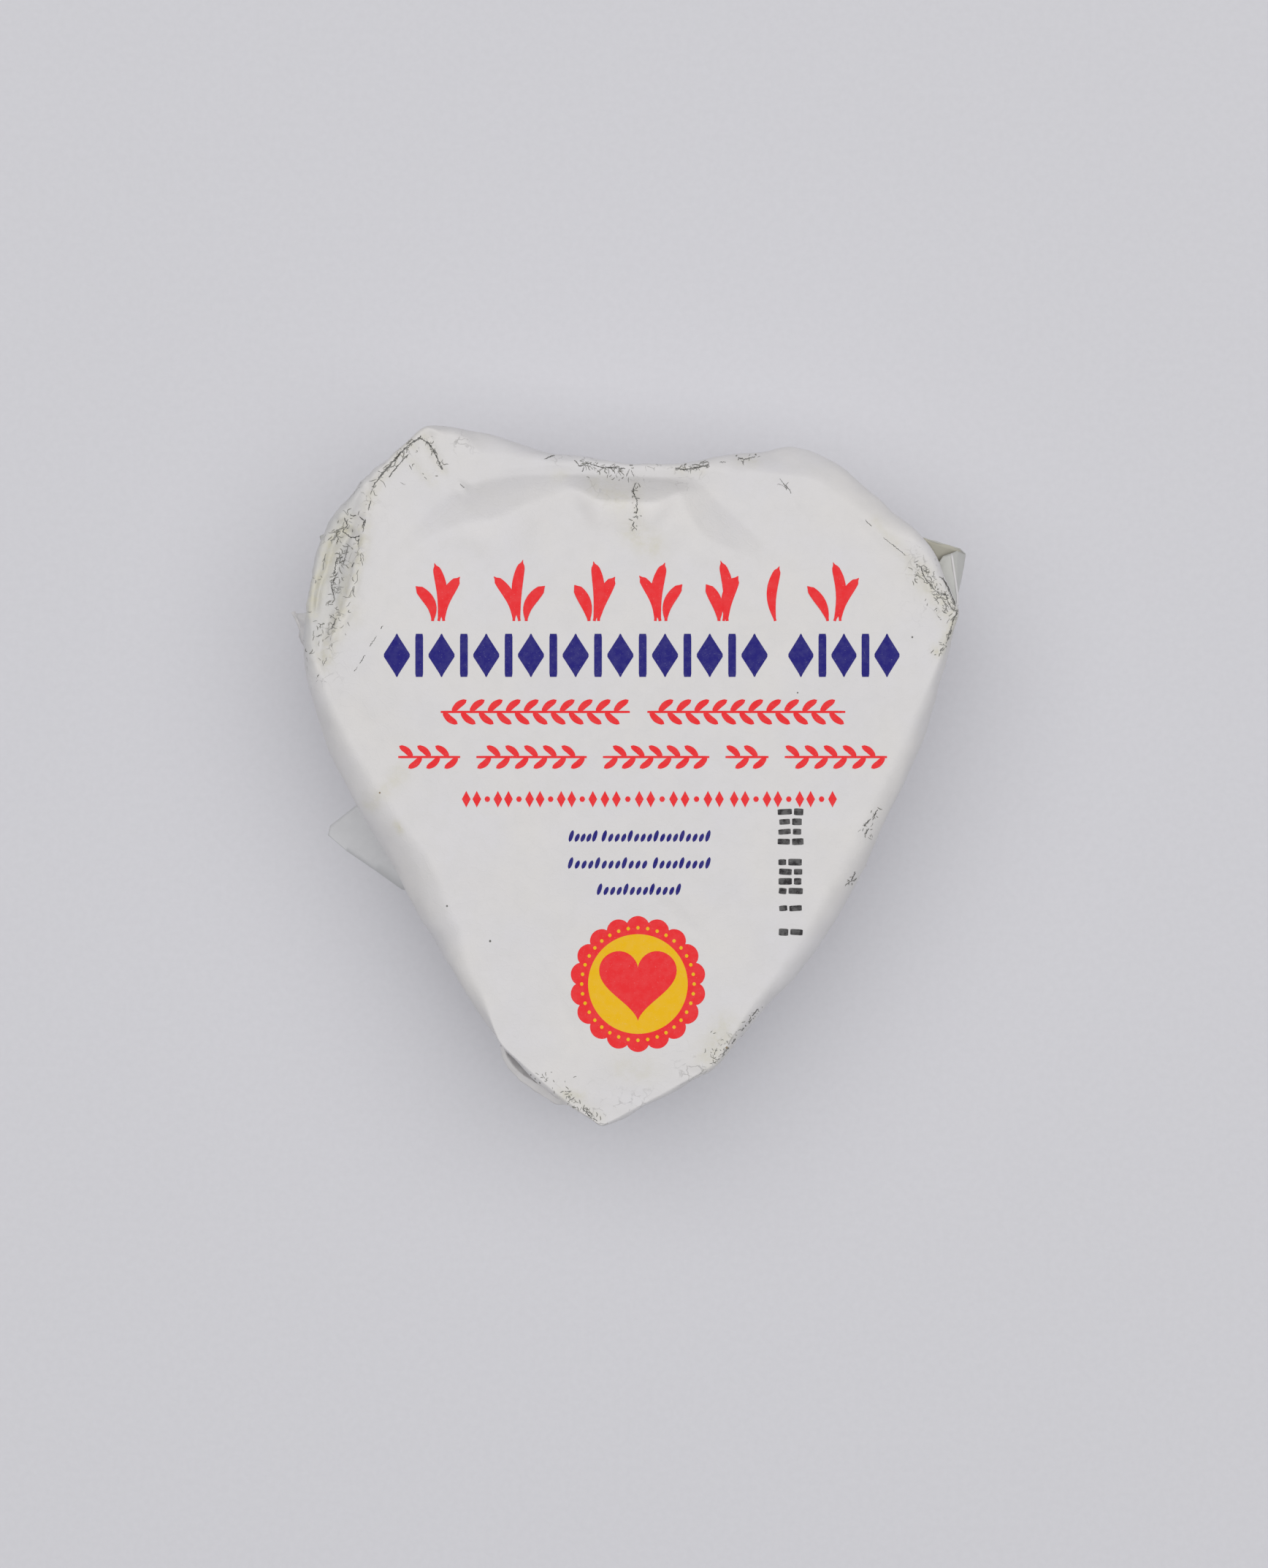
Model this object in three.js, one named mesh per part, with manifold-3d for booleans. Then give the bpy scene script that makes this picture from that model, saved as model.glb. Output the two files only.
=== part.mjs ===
// A heart-shaped soft cheese, wrapped in one sheet of thin waxed paper: one shut pack, solid throughout.
// Millimetres, +Z up. +X is the right lobe's side and +Y points from the heart's tip to its notch. The origin
// is on the surface that the pack rests on, under the middle of its box.
//
// The body is a sphere's grid of rings and spokes, laid over the pack. A ring is on the top face, on the
// shoulder where the paper turns down, on the wall, or on the flat underside. The ears and loose edges of the
// same sheet are small closed pieces, fused on.

import * as THREE from 'three';
import { mergeVertices } from 'three/addons/utils/BufferGeometryUtils.js';
import Module from 'manifold-3d';

// The whole pack
const TOP_Z = 32.5; // the middle of the top face
const DOME = 1.1; // how far the top face falls from there to its rim
const HUB = new THREE.Vector2(0, 2); // rings and pleats run round this point
const BASE_INSET = 5; // from the outline in to the edge of the flat underside
const WALL_SQUARENESS = 4; // 2 is a quarter ellipse, and more keeps the wall upright for longer
const WALL_CROWDING = 1.6; // over 1 crowds the wall's rings together towards its rounded foot
const STRAIGHT_DROP = 16; // a shoulder that drops this far is a plain slope, and one of half that is round

// The grid
const SPOKES = 144;
const TOP_RINGS = 13;
const SHOULDER_RINGS = 6;
const WALL_RINGS = 11;
const BASE_RINGS = 2;
const RINGS = TOP_RINGS + SHOULDER_RINGS + WALL_RINGS + BASE_RINGS;

// The heart's outline seen from above, anticlockwise from the folded corner of the left lobe. Each row is
// x, y, how far the corner is rounded, how far inside the outline the top face's rim lies, and how far below
// that rim the outline is reached.
const OUTLINE = [
  [-31.3, 52.3, 1.2, 1.0, 3],
  [-38.0, 46.3, 3.0, 1.0, 4],
  [-44.4, 40.1, 3.0, 3.5, 12],
  [-47.6, 35.0, 2.0, 5.0, 16],
  [-48.9, 29.0, 3.0, 5.0, 16],
  [-50.2, 20.5, 3.0, 4.0, 11],
  [-49.4, 15.5, 4.0, 2.5, 9],
  [-46.9, 6.8, 5.0, 3.5, 8],
  [-40.7, -5.1, 6.0, 4.0, 8],
  [-29.2, -25.6, 6.0, 4.0, 8],
  [-24.1, -33.1, 4.0, 3.5, 7],
  [-19.5, -40.8, 2.0, 2.0, 5],
  [-12.2, -47.5, 3.0, 1.3, 4],
  [-4.8, -53.15, 1.0, 1.0, 4],
  [3.8, -48.6, 3.0, 1.5, 4],
  [11.8, -44.0, 1.5, 1.2, 4],
  [19.4, -35.3, 5.0, 2.5, 6],
  [27.3, -25.9, 6.0, 4.0, 8],
  [38.0, -7.1, 6.0, 4.0, 8],
  [44.3, 6.4, 5.0, 3.5, 7],
  [48.0, 19.6, 2.5, 1.5, 4],
  [49.1, 24.6, 1.5, 1.5, 4],
  [44.5, 35.8, 4.0, 4.0, 8],
  [39.0, 40.1, 4.0, 4.0, 8],
  [31.3, 47.3, 4.0, 4.5, 8],
  [25.1, 50.0, 3.0, 4.5, 7],
  [17.6, 49.1, 3.0, 3.0, 6],
  [9.9, 47.4, 4.0, 1.5, 5],
  [1.5, 46.8, 4.0, 1.2, 5],
  [-5.6, 47.5, 4.0, 1.5, 5],
  [-13.7, 48.9, 3.0, 2.5, 6],
  [-18.4, 50.6, 3.0, 5.0, 7],
  [-23.9, 52.4, 3.0, 6.5, 7],
  [-28.7, 53.0, 2.0, 4.0, 6],
].map(([x, y, round, inset, drop]) => ({ at: new THREE.Vector2(x, y), round, inset, drop }));

// Soft dents in the top face: where the paper bridges the notch, and beside it on both lobes. Each row is
// x, y, half length, half width, the turn of its long side in degrees, and depth.
const DENTS = [
  [-1.5, 41.4, 15, 4.2, 0, 1.7],
  [-17, 39, 13, 4.5, 24, 0.6],
  [14, 39.5, 9, 6, -28, 0.6],
  [-37, 4, 8, 5, 60, 0.35],
];

// Pleats that open down the wall from the rim. Each row is the direction seen from the hub in degrees, the
// height of its edge and its width, both at the foot. A negative width folds it the other way.
const PLEATS = [
  [26, 0.9, -7],
  [33, 0.8, -6],
  [42, 0.6, 7],
  [58, 0.7, 8],
  [70, 0.6, -8],
  [90, 0.8, 9],
  [109, 0.6, 8],
  [119, 0.8, 7],
  [131, 0.7, 6],
  [139, 0.9, 6],
  [147, 0.9, 6],
  [155, 0.9, 6],
  [163, 0.8, 7],
  [245, 0.8, -6],
  [252, 0.7, 5],
  [265, 0.7, -6],
  [284, 0.8, 6],
  [292, 0.6, 7],
];

// Where the paper stands off the pack, as wedges: the corners of each open top as x, y, z, the foot that it
// narrows to inside the wall, and the share of its width that is left there. The right ear is a pocket,
// hollow between its two layers. Near the tip, an under layer shows past the edge of the top one.
const RIGHT_EAR = [
  [44.0, 34.6, 24.5], [46.0, 27.5, 26.5], [48.6, 24.6, 26.0], [50.2, 26.4, 23.5], [51.7, 33.8, 20.5],
  [50.6, 35.1, 20.5], [45.2, 36.6, 22.5],
];
const RIGHT_EAR_FOOT = [45.0, 29.5, 6];
const RIGHT_POCKET = [
  [44.6, 33.4, 29], [46.8, 32.3, 29], [48.4, 33.9, 26], [50.0, 34.5, 26], [45.3, 35.8, 29],
];
const RIGHT_POCKET_FOOT = [45.6, 32.8, 12];
const LEFT_EAR = [
  [-46.5, 29.5, 22.5], [-49.9, 28.6, 20.5], [-51.7, 25.0, 20.5], [-51.0, 21.0, 21.5], [-50.2, 17.2, 22.5],
  [-47.0, 18.0, 23.5],
];
const LEFT_EAR_FOOT = [-47.2, 23, 5];
const EAR_FOOT_WIDTH = 0.1;
const UNDER_LAYER = [
  [-14, -36, 23], [-19.2, -40.2, 22], [-19.6, -43.2, 20.5], [-17.9, -46.2, 20], [-15.2, -48.6, 20],
  [-12.6, -50.3, 20.5], [-10.4, -50.2, 21.5], [-6, -46, 23],
];
const UNDER_LAYER_FOOT = [-11, -42, 3];
const UNDER_LAYER_FOOT_WIDTH = 0.6;

// An edge of the sheet lies on the ground at the left.
const SLIP = [
  [-31, -4], [-44.8, -4.4], [-50.2, -8.6], [-49.4, -10.9], [-37.5, -18.8], [-30, -21.5], [-26, -16],
];
const SLIP_THICKNESS = 0.5;

const wasm = await Module();
wasm.setup();

// The outline as a path of straight runs joined by rounded corners, with its spokes spaced evenly along it.
function outlinePath() {
  const path = new THREE.Path();
  const count = OUTLINE.length;
  for (let i = 0; i <= count; i += 1) {
    const knot = OUTLINE[i % count];
    const before = OUTLINE[(i + count - 1) % count].at;
    const after = OUTLINE[(i + 1) % count].at;
    const cut = (end) => {
      const run = end.clone().sub(knot.at);
      return knot.at.clone().add(run.setLength(Math.min(knot.round, 0.48 * run.length())));
    };
    const [start, finish] = [cut(before), cut(after)];
    if (i === 0) {
      path.moveTo(finish.x, finish.y);
      continue;
    }
    path.lineTo(start.x, start.y);
    path.quadraticCurveTo(knot.at.x, knot.at.y, finish.x, finish.y);
  }
  return path;
}

// The value of a column of the outline's rows at a share of the way round, eased between the rows.
function alongOutline(column) {
  const lengths = OUTLINE.map((knot, i) => knot.at.distanceTo(OUTLINE[(i + 1) % OUTLINE.length].at));
  const whole = lengths.reduce((sum, length) => sum + length, 0);
  return (share) => {
    let left = (share % 1) * whole;
    let i = 0;
    while (left > lengths[i]) {
      left -= lengths[i];
      i += 1;
    }
    const next = OUTLINE[(i + 1) % OUTLINE.length];
    const eased = THREE.MathUtils.smoothstep(left / lengths[i], 0, 1);
    return THREE.MathUtils.lerp(OUTLINE[i][column], next[column], eased);
  };
}

const spokePoints = outlinePath().getSpacedPoints(SPOKES);
const insetAt = alongOutline('inset');
const dropAt = alongOutline('drop');

function dentDepth(x, y) {
  return DENTS.reduce((sum, [middleX, middleY, length, width, turn, depth]) => {
    const middle = new THREE.Vector2(middleX, middleY);
    const away = new THREE.Vector2(x, y).rotateAround(middle, -THREE.MathUtils.degToRad(turn)).sub(middle);
    return sum + depth * Math.exp(-((away.x / length) ** 2) - (away.y / width) ** 2);
  }, 0);
}

// How far the pleats lift the paper, a share of the way down from the rim to the ground. Each one rises
// from nothing to its edge, then steps down, and opens from a point at the rim.
function pleatLift(outward, distance, share) {
  const direction = THREE.MathUtils.radToDeg(outward.angle());
  return PLEATS.reduce((most, [angle, height, width]) => {
    const turn = THREE.MathUtils.euclideanModulo(direction - angle + 180, 360) - 180;
    const across = THREE.MathUtils.degToRad(turn) * distance;
    const along = across / (width * Math.max(share, 1e-3));
    return along > 0 && along < 1 ? Math.max(most, height * share * (1 - along)) : most;
  }, 0);
}

// The point of the pack on a spoke and a ring.
function packPoint(spoke, ring) {
  const edge = spokePoints[spoke % SPOKES];
  const share = (spoke % SPOKES) / SPOKES;
  const reach = edge.distanceTo(HUB);
  const outward = edge.clone().sub(HUB).normalize();
  const inset = insetAt(share);
  const drop = dropAt(share);
  const at = (radius, z) => {
    const plan = outward.clone().multiplyScalar(radius).add(HUB);
    return new THREE.Vector3(plan.x, plan.y, z);
  };
  const topPoint = (radius) => {
    const point = at(radius, TOP_Z - DOME * (radius / reach) ** 2);
    point.z -= dentDepth(point.x, point.y);
    return point;
  };
  if (ring <= TOP_RINGS) return topPoint((reach - inset) * (ring / TOP_RINGS));
  const rimZ = topPoint(reach - inset).z;
  const lifted = (radius, z, fade) => at(radius + pleatLift(outward, reach, 1 - z / rimZ) * fade, z);
  const shoulder = (ring - TOP_RINGS) / SHOULDER_RINGS;
  if (shoulder <= 1) {
    const turn = (Math.PI / 2) * shoulder;
    const power = THREE.MathUtils.clamp((2 * drop) / STRAIGHT_DROP, 1, 2);
    const across = Math.sin(turn) ** power;
    const down = 1 - Math.max(0, Math.cos(turn)) ** power;
    return lifted(reach - inset * (1 - across), rimZ - drop * down, 1);
  }
  const wall = (ring - TOP_RINGS - SHOULDER_RINGS) / WALL_RINGS;
  if (wall <= 1) {
    const left = (1 - wall) ** WALL_CROWDING;
    const width = (1 - Math.min(1, (1 - left) ** WALL_SQUARENESS)) ** (1 / WALL_SQUARENESS);
    return lifted(reach - BASE_INSET * (1 - width), (rimZ - drop) * left, width);
  }
  const under = (ring - TOP_RINGS - SHOULDER_RINGS - WALL_RINGS) / BASE_RINGS;
  return at((reach - BASE_INSET) * (1 - under), 0);
}

// A closed geometry as a solid that can be joined to others.
function solidFrom(geometry) {
  const bare = geometry.clone();
  bare.deleteAttribute('normal');
  bare.deleteAttribute('uv');
  const merged = mergeVertices(bare, 1e-4);
  return new wasm.Manifold(
    new wasm.Mesh({
      numProp: 3,
      vertProperties: merged.attributes.position.array,
      triVerts: new Uint32Array(merged.index.array),
    }),
  );
}

function packBody() {
  const geometry = new THREE.SphereGeometry(1, SPOKES, RINGS);
  const { position, uv } = geometry.attributes;
  for (let i = 0; i < position.count; i += 1) {
    const ring = Math.round((1 - uv.getY(i)) * RINGS);
    const polar = ring === 0 || ring === RINGS;
    const point = packPoint(polar ? 0 : Math.round(uv.getX(i) * SPOKES), ring);
    position.setXYZ(i, point.x, point.y, point.z);
  }
  return solidFrom(geometry);
}

// A plan outline as a closed slab between two heights.
function slab(corners, foot, top) {
  const outline = new THREE.Shape(corners.map(([x, y]) => new THREE.Vector2(x, y)));
  return new THREE.ExtrudeGeometry(outline, { depth: top - foot, bevelEnabled: false }).translate(0, 0, foot);
}

// A closed wedge that has its corners at the top and narrows to a foot.
function wedge(corners, foot, footWidth) {
  const geometry = slab(corners, 0, 1);
  const { position } = geometry.attributes;
  const footPoint = new THREE.Vector3(...foot);
  for (let i = 0; i < position.count; i += 1) {
    const [planX, planY] = [position.getX(i), position.getY(i)];
    const corner = corners.find(([x, y]) => Math.hypot(x - planX, y - planY) < 1e-4);
    const atTop = position.getZ(i) > 0.5;
    const level = new THREE.Vector3(corner[0], corner[1], foot[2]);
    const point = atTop ? new THREE.Vector3(...corner) : footPoint.clone().lerp(level, footWidth);
    position.setXYZ(i, point.x, point.y, point.z);
  }
  return solidFrom(geometry);
}

function geometryFrom(solid) {
  const { vertProperties, triVerts } = solid.getMesh();
  const geometry = new THREE.BufferGeometry();
  geometry.setAttribute('position', new THREE.BufferAttribute(vertProperties, 3));
  geometry.setIndex(new THREE.BufferAttribute(triVerts, 1));
  const flat = geometry.toNonIndexed();
  flat.computeVertexNormals();
  return flat;
}

const rightEar = wedge(RIGHT_EAR, RIGHT_EAR_FOOT, EAR_FOOT_WIDTH);
const rightPocket = wedge(RIGHT_POCKET, RIGHT_POCKET_FOOT, EAR_FOOT_WIDTH);
const pack = [
  rightEar.subtract(rightPocket),
  wedge(LEFT_EAR, LEFT_EAR_FOOT, EAR_FOOT_WIDTH),
  wedge(UNDER_LAYER, UNDER_LAYER_FOOT, UNDER_LAYER_FOOT_WIDTH),
  solidFrom(slab(SLIP, 0, SLIP_THICKNESS)),
].reduce((body, piece) => body.add(piece), packBody());

const waxedPaper = new THREE.MeshStandardMaterial({ color: 0xe6e3e5, roughness: 0.5, metalness: 0 });

const group = new THREE.Group();
const wrappedCheese = new THREE.Mesh(geometryFrom(pack), waxedPaper);
wrappedCheese.name = 'wrapped_cheese';
group.add(wrappedCheese);

export default group;
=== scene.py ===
"""The look of a heart-shaped soft cheese in its waxed paper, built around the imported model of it.

Shapes are worked out in millimetres, in the model's frame: +X to the right lobe, +Y from the tip to the
notch, +Z up. A finished mesh is in metres. The paper is one sheet, so the big closed wrap, its ears and its
loose edges share one kind of finish. The print and the cracks in the wax are thin strips laid on the paper.
"""

import math

import bmesh
import bpy
import numpy as np
from bpy.props import FloatProperty, FloatVectorProperty, IntProperty, PointerProperty
from bpy.types import Operator, Panel, PropertyGroup
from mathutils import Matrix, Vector
from mathutils.bvhtree import BVHTree


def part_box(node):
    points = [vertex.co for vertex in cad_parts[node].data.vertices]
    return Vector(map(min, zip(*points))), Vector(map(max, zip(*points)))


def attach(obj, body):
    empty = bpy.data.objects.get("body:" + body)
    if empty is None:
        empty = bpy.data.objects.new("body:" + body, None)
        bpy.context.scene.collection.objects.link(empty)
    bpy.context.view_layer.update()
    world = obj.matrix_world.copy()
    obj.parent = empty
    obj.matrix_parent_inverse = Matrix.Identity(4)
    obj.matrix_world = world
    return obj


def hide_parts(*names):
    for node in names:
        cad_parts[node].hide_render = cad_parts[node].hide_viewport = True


bl_info = {
    "name": "Wrapped heart cheese",
    "version": (1, 0, 0),
    "blender": (4, 5, 0),
    "location": "View3D > Sidebar > Cheese",
    "description": "Models a heart-shaped soft cheese in printed waxed paper, with its stage",
    "category": "Object",
}

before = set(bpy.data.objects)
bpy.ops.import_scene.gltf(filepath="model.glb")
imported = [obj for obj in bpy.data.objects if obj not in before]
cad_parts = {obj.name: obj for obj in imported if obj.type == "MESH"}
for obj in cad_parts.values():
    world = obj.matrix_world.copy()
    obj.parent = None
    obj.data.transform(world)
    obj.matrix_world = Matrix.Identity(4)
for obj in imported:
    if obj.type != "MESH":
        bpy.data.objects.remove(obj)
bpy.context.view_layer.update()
NODE = "wrapped_cheese"
BODY = "root"
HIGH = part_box(NODE)[1]

# A millimetre in metres, the unit of a finished mesh.
MM = 0.001
# The top face's height at the hub, where the wrap's columns meet, and how far it falls from there to the
# outline.
TOP_Z = HIGH.z / MM
DOME = 1.1
HUB = np.array([0.0, 2.0])
# How far in from the outline the wall's foot lies, and the power that makes the wall's profile squarer than
# round.
BASE_INSET = 5.0
WALL_SQUARENESS = 4.0
# The powers by which the wrap's rows crowd towards the wall's foot and towards the top face's rim.
WALL_CROWDING = 1.6
TOP_CROWDING = 1.5
# How high the wrap's underside lies over the ground, to leave room for the flaps, and how far the floor lies
# below it.
UNDERSIDE_RISE = 0.35
FLOOR_GAP = 0.01

# Where the photograph was taken from: straight above, with its frame's long side as the sensor's. PIXEL is a
# pixel's size at the height of the top face, and ORIGIN_PIXEL shows the model's origin there.
PHOTO_WIDTH, PHOTO_HEIGHT = 1736, 2146
PIXEL = 0.1085
ORIGIN_PIXEL = (866, 1061)
CAMERA_RISE = 300.0
SENSOR = 36.0
CAMERA = np.array([
    (PHOTO_WIDTH / 2 - ORIGIN_PIXEL[0]) * PIXEL,
    (ORIGIN_PIXEL[1] - PHOTO_HEIGHT / 2) * PIXEL,
    TOP_Z + CAMERA_RISE,
])

# The heart's outline seen from above, anticlockwise from the folded corner of the left lobe: x, y, how far
# the corner is rounded, how far inside the outline the top face's rim lies, and how far below the rim it is
# reached.
OUTLINE = np.array([
    (-31.3, 52.4, 0.9, 1.0, 3),
    (-38.1, 46.6, 2.0, 1.2, 4),
    (-41.4, 43.9, 1.2, 1.6, 4),
    (-44.4, 40.2, 1.5, 1.6, 4),
    (-47.9, 34.8, 1.5, 1.5, 4),
    (-49.1, 29.4, 3.0, 1.5, 4),
    (-49.7, 25.0, 3.0, 1.8, 5),
    (-50.1, 19.6, 3.0, 2.4, 6),
    (-49.7, 14.7, 4.0, 4.2, 7),
    (-47.5, 6.4, 5.0, 5.4, 7),
    (-41.9, -4.6, 6.0, 5.8, 6.5),
    (-35.6, -15.7, 6.0, 6.4, 6.8),
    (-30.0, -25.7, 6.0, 5.6, 6.5),
    (-24.8, -33.3, 4.0, 3.2, 5),
    (-19.7, -41.0, 1.6, 0.8, 3),
    (-12.2, -47.6, 3.0, 0.8, 3),
    (-4.8, -53.1, 0.8, 0.9, 3.5),
    (4.0, -48.9, 3.0, 1.2, 4),
    (12.0, -44.2, 1.0, 1.0, 4),
    (19.9, -35.8, 5.0, 3.2, 5),
    (28.2, -26.6, 6.0, 4.4, 6),
    (34.0, -16.4, 6.0, 4.8, 6.5),
    (38.5, -7.4, 6.0, 4.6, 6.5),
    (44.6, 6.3, 5.0, 4.2, 6),
    (48.1, 19.6, 2.0, 2.3, 5),
    (49.1, 24.6, 1.0, 1.1, 4),
    (44.5, 35.8, 2.5, 2.4, 4.5),
    (39.0, 40.1, 4.0, 4.5, 5.5),
    (31.3, 47.3, 4.0, 4.8, 5),
    (25.1, 50.0, 3.0, 5.5, 5),
    (17.6, 49.1, 3.0, 4.6, 5),
    (9.9, 47.4, 4.0, 1.8, 4),
    (1.5, 46.8, 4.0, 1.0, 4),
    (-5.6, 47.5, 4.0, 1.2, 4),
    (-13.7, 48.9, 2.0, 2.8, 5),
    (-18.4, 50.6, 3.0, 4.0, 5.5),
    (-23.9, 52.4, 3.0, 5.4, 6),
    (-28.7, 53.0, 2.0, 3.2, 5),
])
CORNER_STEPS = 9
# A corner is rounded over no more than this share of the sides beside it.
MOST_ROUNDING = 0.48

# Soft dents in the top face: x, y, half length, half width, the turn of the long side in degrees, and depth.
DENTS = [
    (-4, 37, 20, 9, 0, 0.35),
    (-54, 8, 12, 13, 0, 2.4),
    (-37, 4, 8, 5, 60, 0.3),
    (31, 41, 7, 4, -40, 0.25),
    (38, 6, 9, 4, 65, 0.3),
    (-8, -33, 12, 7, 30, 0.2),
]
# The crest above the crinkled slope of the left lobe.
BAND_LINE = [
    (-34.0, 47.6), (-38.6, 42.7), (-40.0, 37.0), (-40.6, 32.7), (-41.1, 28.3), (-42.1, 25.1), (-44.1, 21.3),
    (-45.7, 16.9), (-46.5, 12.5),
]
# Troughs with one crisp side. Each lies to the right of its line: depth, the run down to the deepest place,
# how far it then fades out, how much of its length it takes to reach its depth, and the line's points.
TROUGHS = [
    (2.35, 3.6, 4.5, 0.33, [(-11.4, 44.7), (-7.0, 44.7), (0.0, 44.5), (5.0, 44.3), (9.8, 43.9)]),
    (2.30, 3.4, 60.0, 0.5, BAND_LINE),
    (2.25, 5.5, 7.0, 0.5, [
        (-37.0, 31.0), (-33.0, 36.8), (-27.0, 42.0), (-19.1, 44.3), (-11.5, 44.8), (-4.0, 44.9),
    ]),
    (2.05, 6.0, 8.0, 0.6, [(3.0, 46.4), (8.7, 44.6), (12.2, 41.4), (15.6, 38.3), (19.4, 34.7), (23.5, 30.6)]),
    (0.20, 1.8, 4.0, 0.5, [(-5.5, 35.9), (0.0, 36.5), (4.6, 36.9)]),
    (0.20, 2.2, 4.0, 0.5, [(-36.0, 7.2), (-39.0, 5.8), (-42.5, 4.4)]),
    (0.22, 1.8, 5.0, 0.5, [(27.2, 41.0), (26.0, 36.5), (25.4, 32.4)]),
    (0.20, 1.8, 5.0, 0.5, [(31.4, 38.5), (30.6, 34.5), (30.2, 31.4)]),
    (0.22, 2.0, 6.0, 0.5, [(-4.0, -12.0), (2.0, -15.0), (8.0, -20.0), (12.5, -26.0)]),
    (0.25, 2.0, 6.0, 0.5, [(-14.0, -27.0), (-9.0, -33.0), (-6.0, -42.0)]),
]

# Ridges, or with a negative height creases, in the top face: height, half width, and the line's points.
RIDGES = [
    (0.55, 0.9, [(-42.6, 37.6), (-44.9, 34.6), (-45.8, 31.4), (-46.8, 28.5), (-47.4, 25.0)]),
    (-0.35, 0.7, [(-42.0, 36.6), (-43.9, 33.8), (-44.6, 30.8), (-45.4, 28.2), (-45.6, 25.6)]),
    (0.45, 0.8, [(-40.3, 34.2), (-41.6, 30.2), (-42.4, 26.8), (-43.6, 23.8), (-44.8, 20.4)]),
    (-0.30, 0.7, [(-39.6, 35.0), (-40.7, 31.0), (-41.3, 27.6), (-42.4, 24.6), (-43.6, 21.6)]),
    (-0.30, 0.7, [(-46.8, 23.8), (-44.6, 22.6), (-42.4, 23.6), (-40.6, 26.4)]),
    (0.35, 0.8, [(-43.5, 38.6), (-41.2, 39.4), (-39.4, 38.4)]),
    (-0.35, 0.7, [(-43.0, 36.8), (-41.0, 35.4), (-40.4, 33.6)]),
    (0.45, 3.4, [
        (-24.2, 43.4), (-18.8, 45.7), (-11.4, 46.3), (-7.5, 45.6), (0.3, 45.5), (7.7, 45.5), (14, 45.2),
    ]),
    (-0.35, 1.0, [(-30.2, 50.4), (-29.5, 47.8), (-28.3, 45.0)]),
    (0.25, 1.4, [(-32.0, 50.5), (-31.4, 47.2), (-30.8, 44.5)]),
    (-0.30, 0.9, [(0.5, 43.6), (0.1, 42.3), (0.6, 40.5), (0.4, 38.4), (0.0, 37.4), (0.6, 36.4)]),
    (-0.16, 0.8, [(22.4, 43.3), (23.4, 41.9), (24.5, 39.6)]),
    (0.12, 1.0, [(-35.6, 26.7), (-36.6, 23.4), (-38.6, 19.7), (-40.3, 16.9), (-43.3, 12.7)]),
    (-0.30, 1.0, [(41.6, 31.7), (43.2, 29.6), (44.2, 27.9), (46.2, 27.2), (47.6, 25.2)]),
    (-0.25, 0.9, [(45.3, 29.6), (47.0, 27.8), (48.2, 25.0)]),
    (0.18, 1.2, [(33.9, 38.5), (37.6, 35.0), (40.6, 32.7)]),
    (-0.35, 0.9, [(-25.7, 43.4), (-25.2, 42.6)]),
]

# How many steps a smooth curve has from point to point. Near a line's bends, the stretches on both sides of
# a place share in its distance to the line: over this share of the distance, and at least over these mm.
CURVE_STEPS = 6
SHARING, LEAST_SHARING = 0.15, 0.02
# How much of its run a trough keeps at its ends, and the power that makes a ridge's sides hollow.
TROUGH_END_RUN, RIDGE_POWER = 0.3, 1.3

# Pleats folded over on the way from the rim down to the ground: the direction of the fold's edge seen from
# the hub in degrees, how far it stands off at the foot, how wide the pleat is there (negative folds it the
# other way), and how far it leans round on its way down.
PLEATS = [
    (14, 0.8, 10, -4.0),
    (24, 1.0, -7, 1.0),
    (33, 1.4, -7, 2.0),
    (42, 1.2, 7, -2.5),
    (51, 1.0, 6, 2.0),
    (60, 1.3, 8, 1.0),
    (71, 1.2, -8, -3.0),
    (84, 0.8, 6, 2.0),
    (103, 0.8, -8, 2.0),
    (113, 0.9, 7, -2.0),
    (122, 0.9, 6, 1.0),
    (131, 1.4, 6, -1.0),
    (140, 1.6, 7, 1.5),
    (149, 1.4, 6, -1.5),
    (157, 1.3, 6, 1.0),
    (166, 1.2, 8, 3.0),
    (180, 1.0, 11, 5.0),
    (196, 1.2, -12, -5.0),
    (214, 1.0, 12, 4.0),
    (228, 1.2, 9, -4.0),
    (240, 1.0, -7, 2.0),
    (251, 1.2, 6, -1.0),
    (259, 0.8, 5, 1.0),
    (271, 0.9, -6, -1.5),
    (280, 1.3, 6, 1.0),
    (291, 1.2, 8, 2.5),
    (305, 1.2, -10, -4.0),
    (320, 1.0, 11, 5.0),
    (338, 1.2, -11, -5.0),
    (355, 0.9, 10, 4.0),
]
# How far down the wall pleats begin, and over how much of it they grow, as shares of its height. Past a
# pleat's edge the paper is tucked in by a share of the pleat's height, which fades out over so many mm. The
# edge hangs over by a share of that height too, and drags the paper beside it, as does the pleat's lean. A
# pleat is never narrower than a share of its full width.
PLEAT_START, PLEAT_GROWTH = 0.10, 0.65
PLEAT_TUCK, TUCK_FADE = 0.5, 2.5
PLEAT_OVERHANG, OVERHANG_FADE = 0.65, 1.4
LEAN_FADE = 12.0
NARROWEST_PLEAT = 0.05
# How much of the wall's height the shoulder, the rounded edge between the top face and the wall, takes.
SHOULDER_SHARE = 0.14
# The shoulder is flatter where its inset is large beside its drop: how much its power then grows, and from
# which ratio of the two, over which span of it.
FLATTER, FLATTER_FROM = 0.85, (0.7, 0.6)
# How far in from the rim, in mm, the crumples and the crazing of the worn corners fade out.
RIM_FADE = 3.0
# The dip in the wall below the notch: where in x, its half width, its depth, and the y that it lies beyond.
DIP_X, DIP_WIDTH, DIP_DEPTH, DIP_SIDE = -1.0, 7.0, 2.0, 30.0
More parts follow.
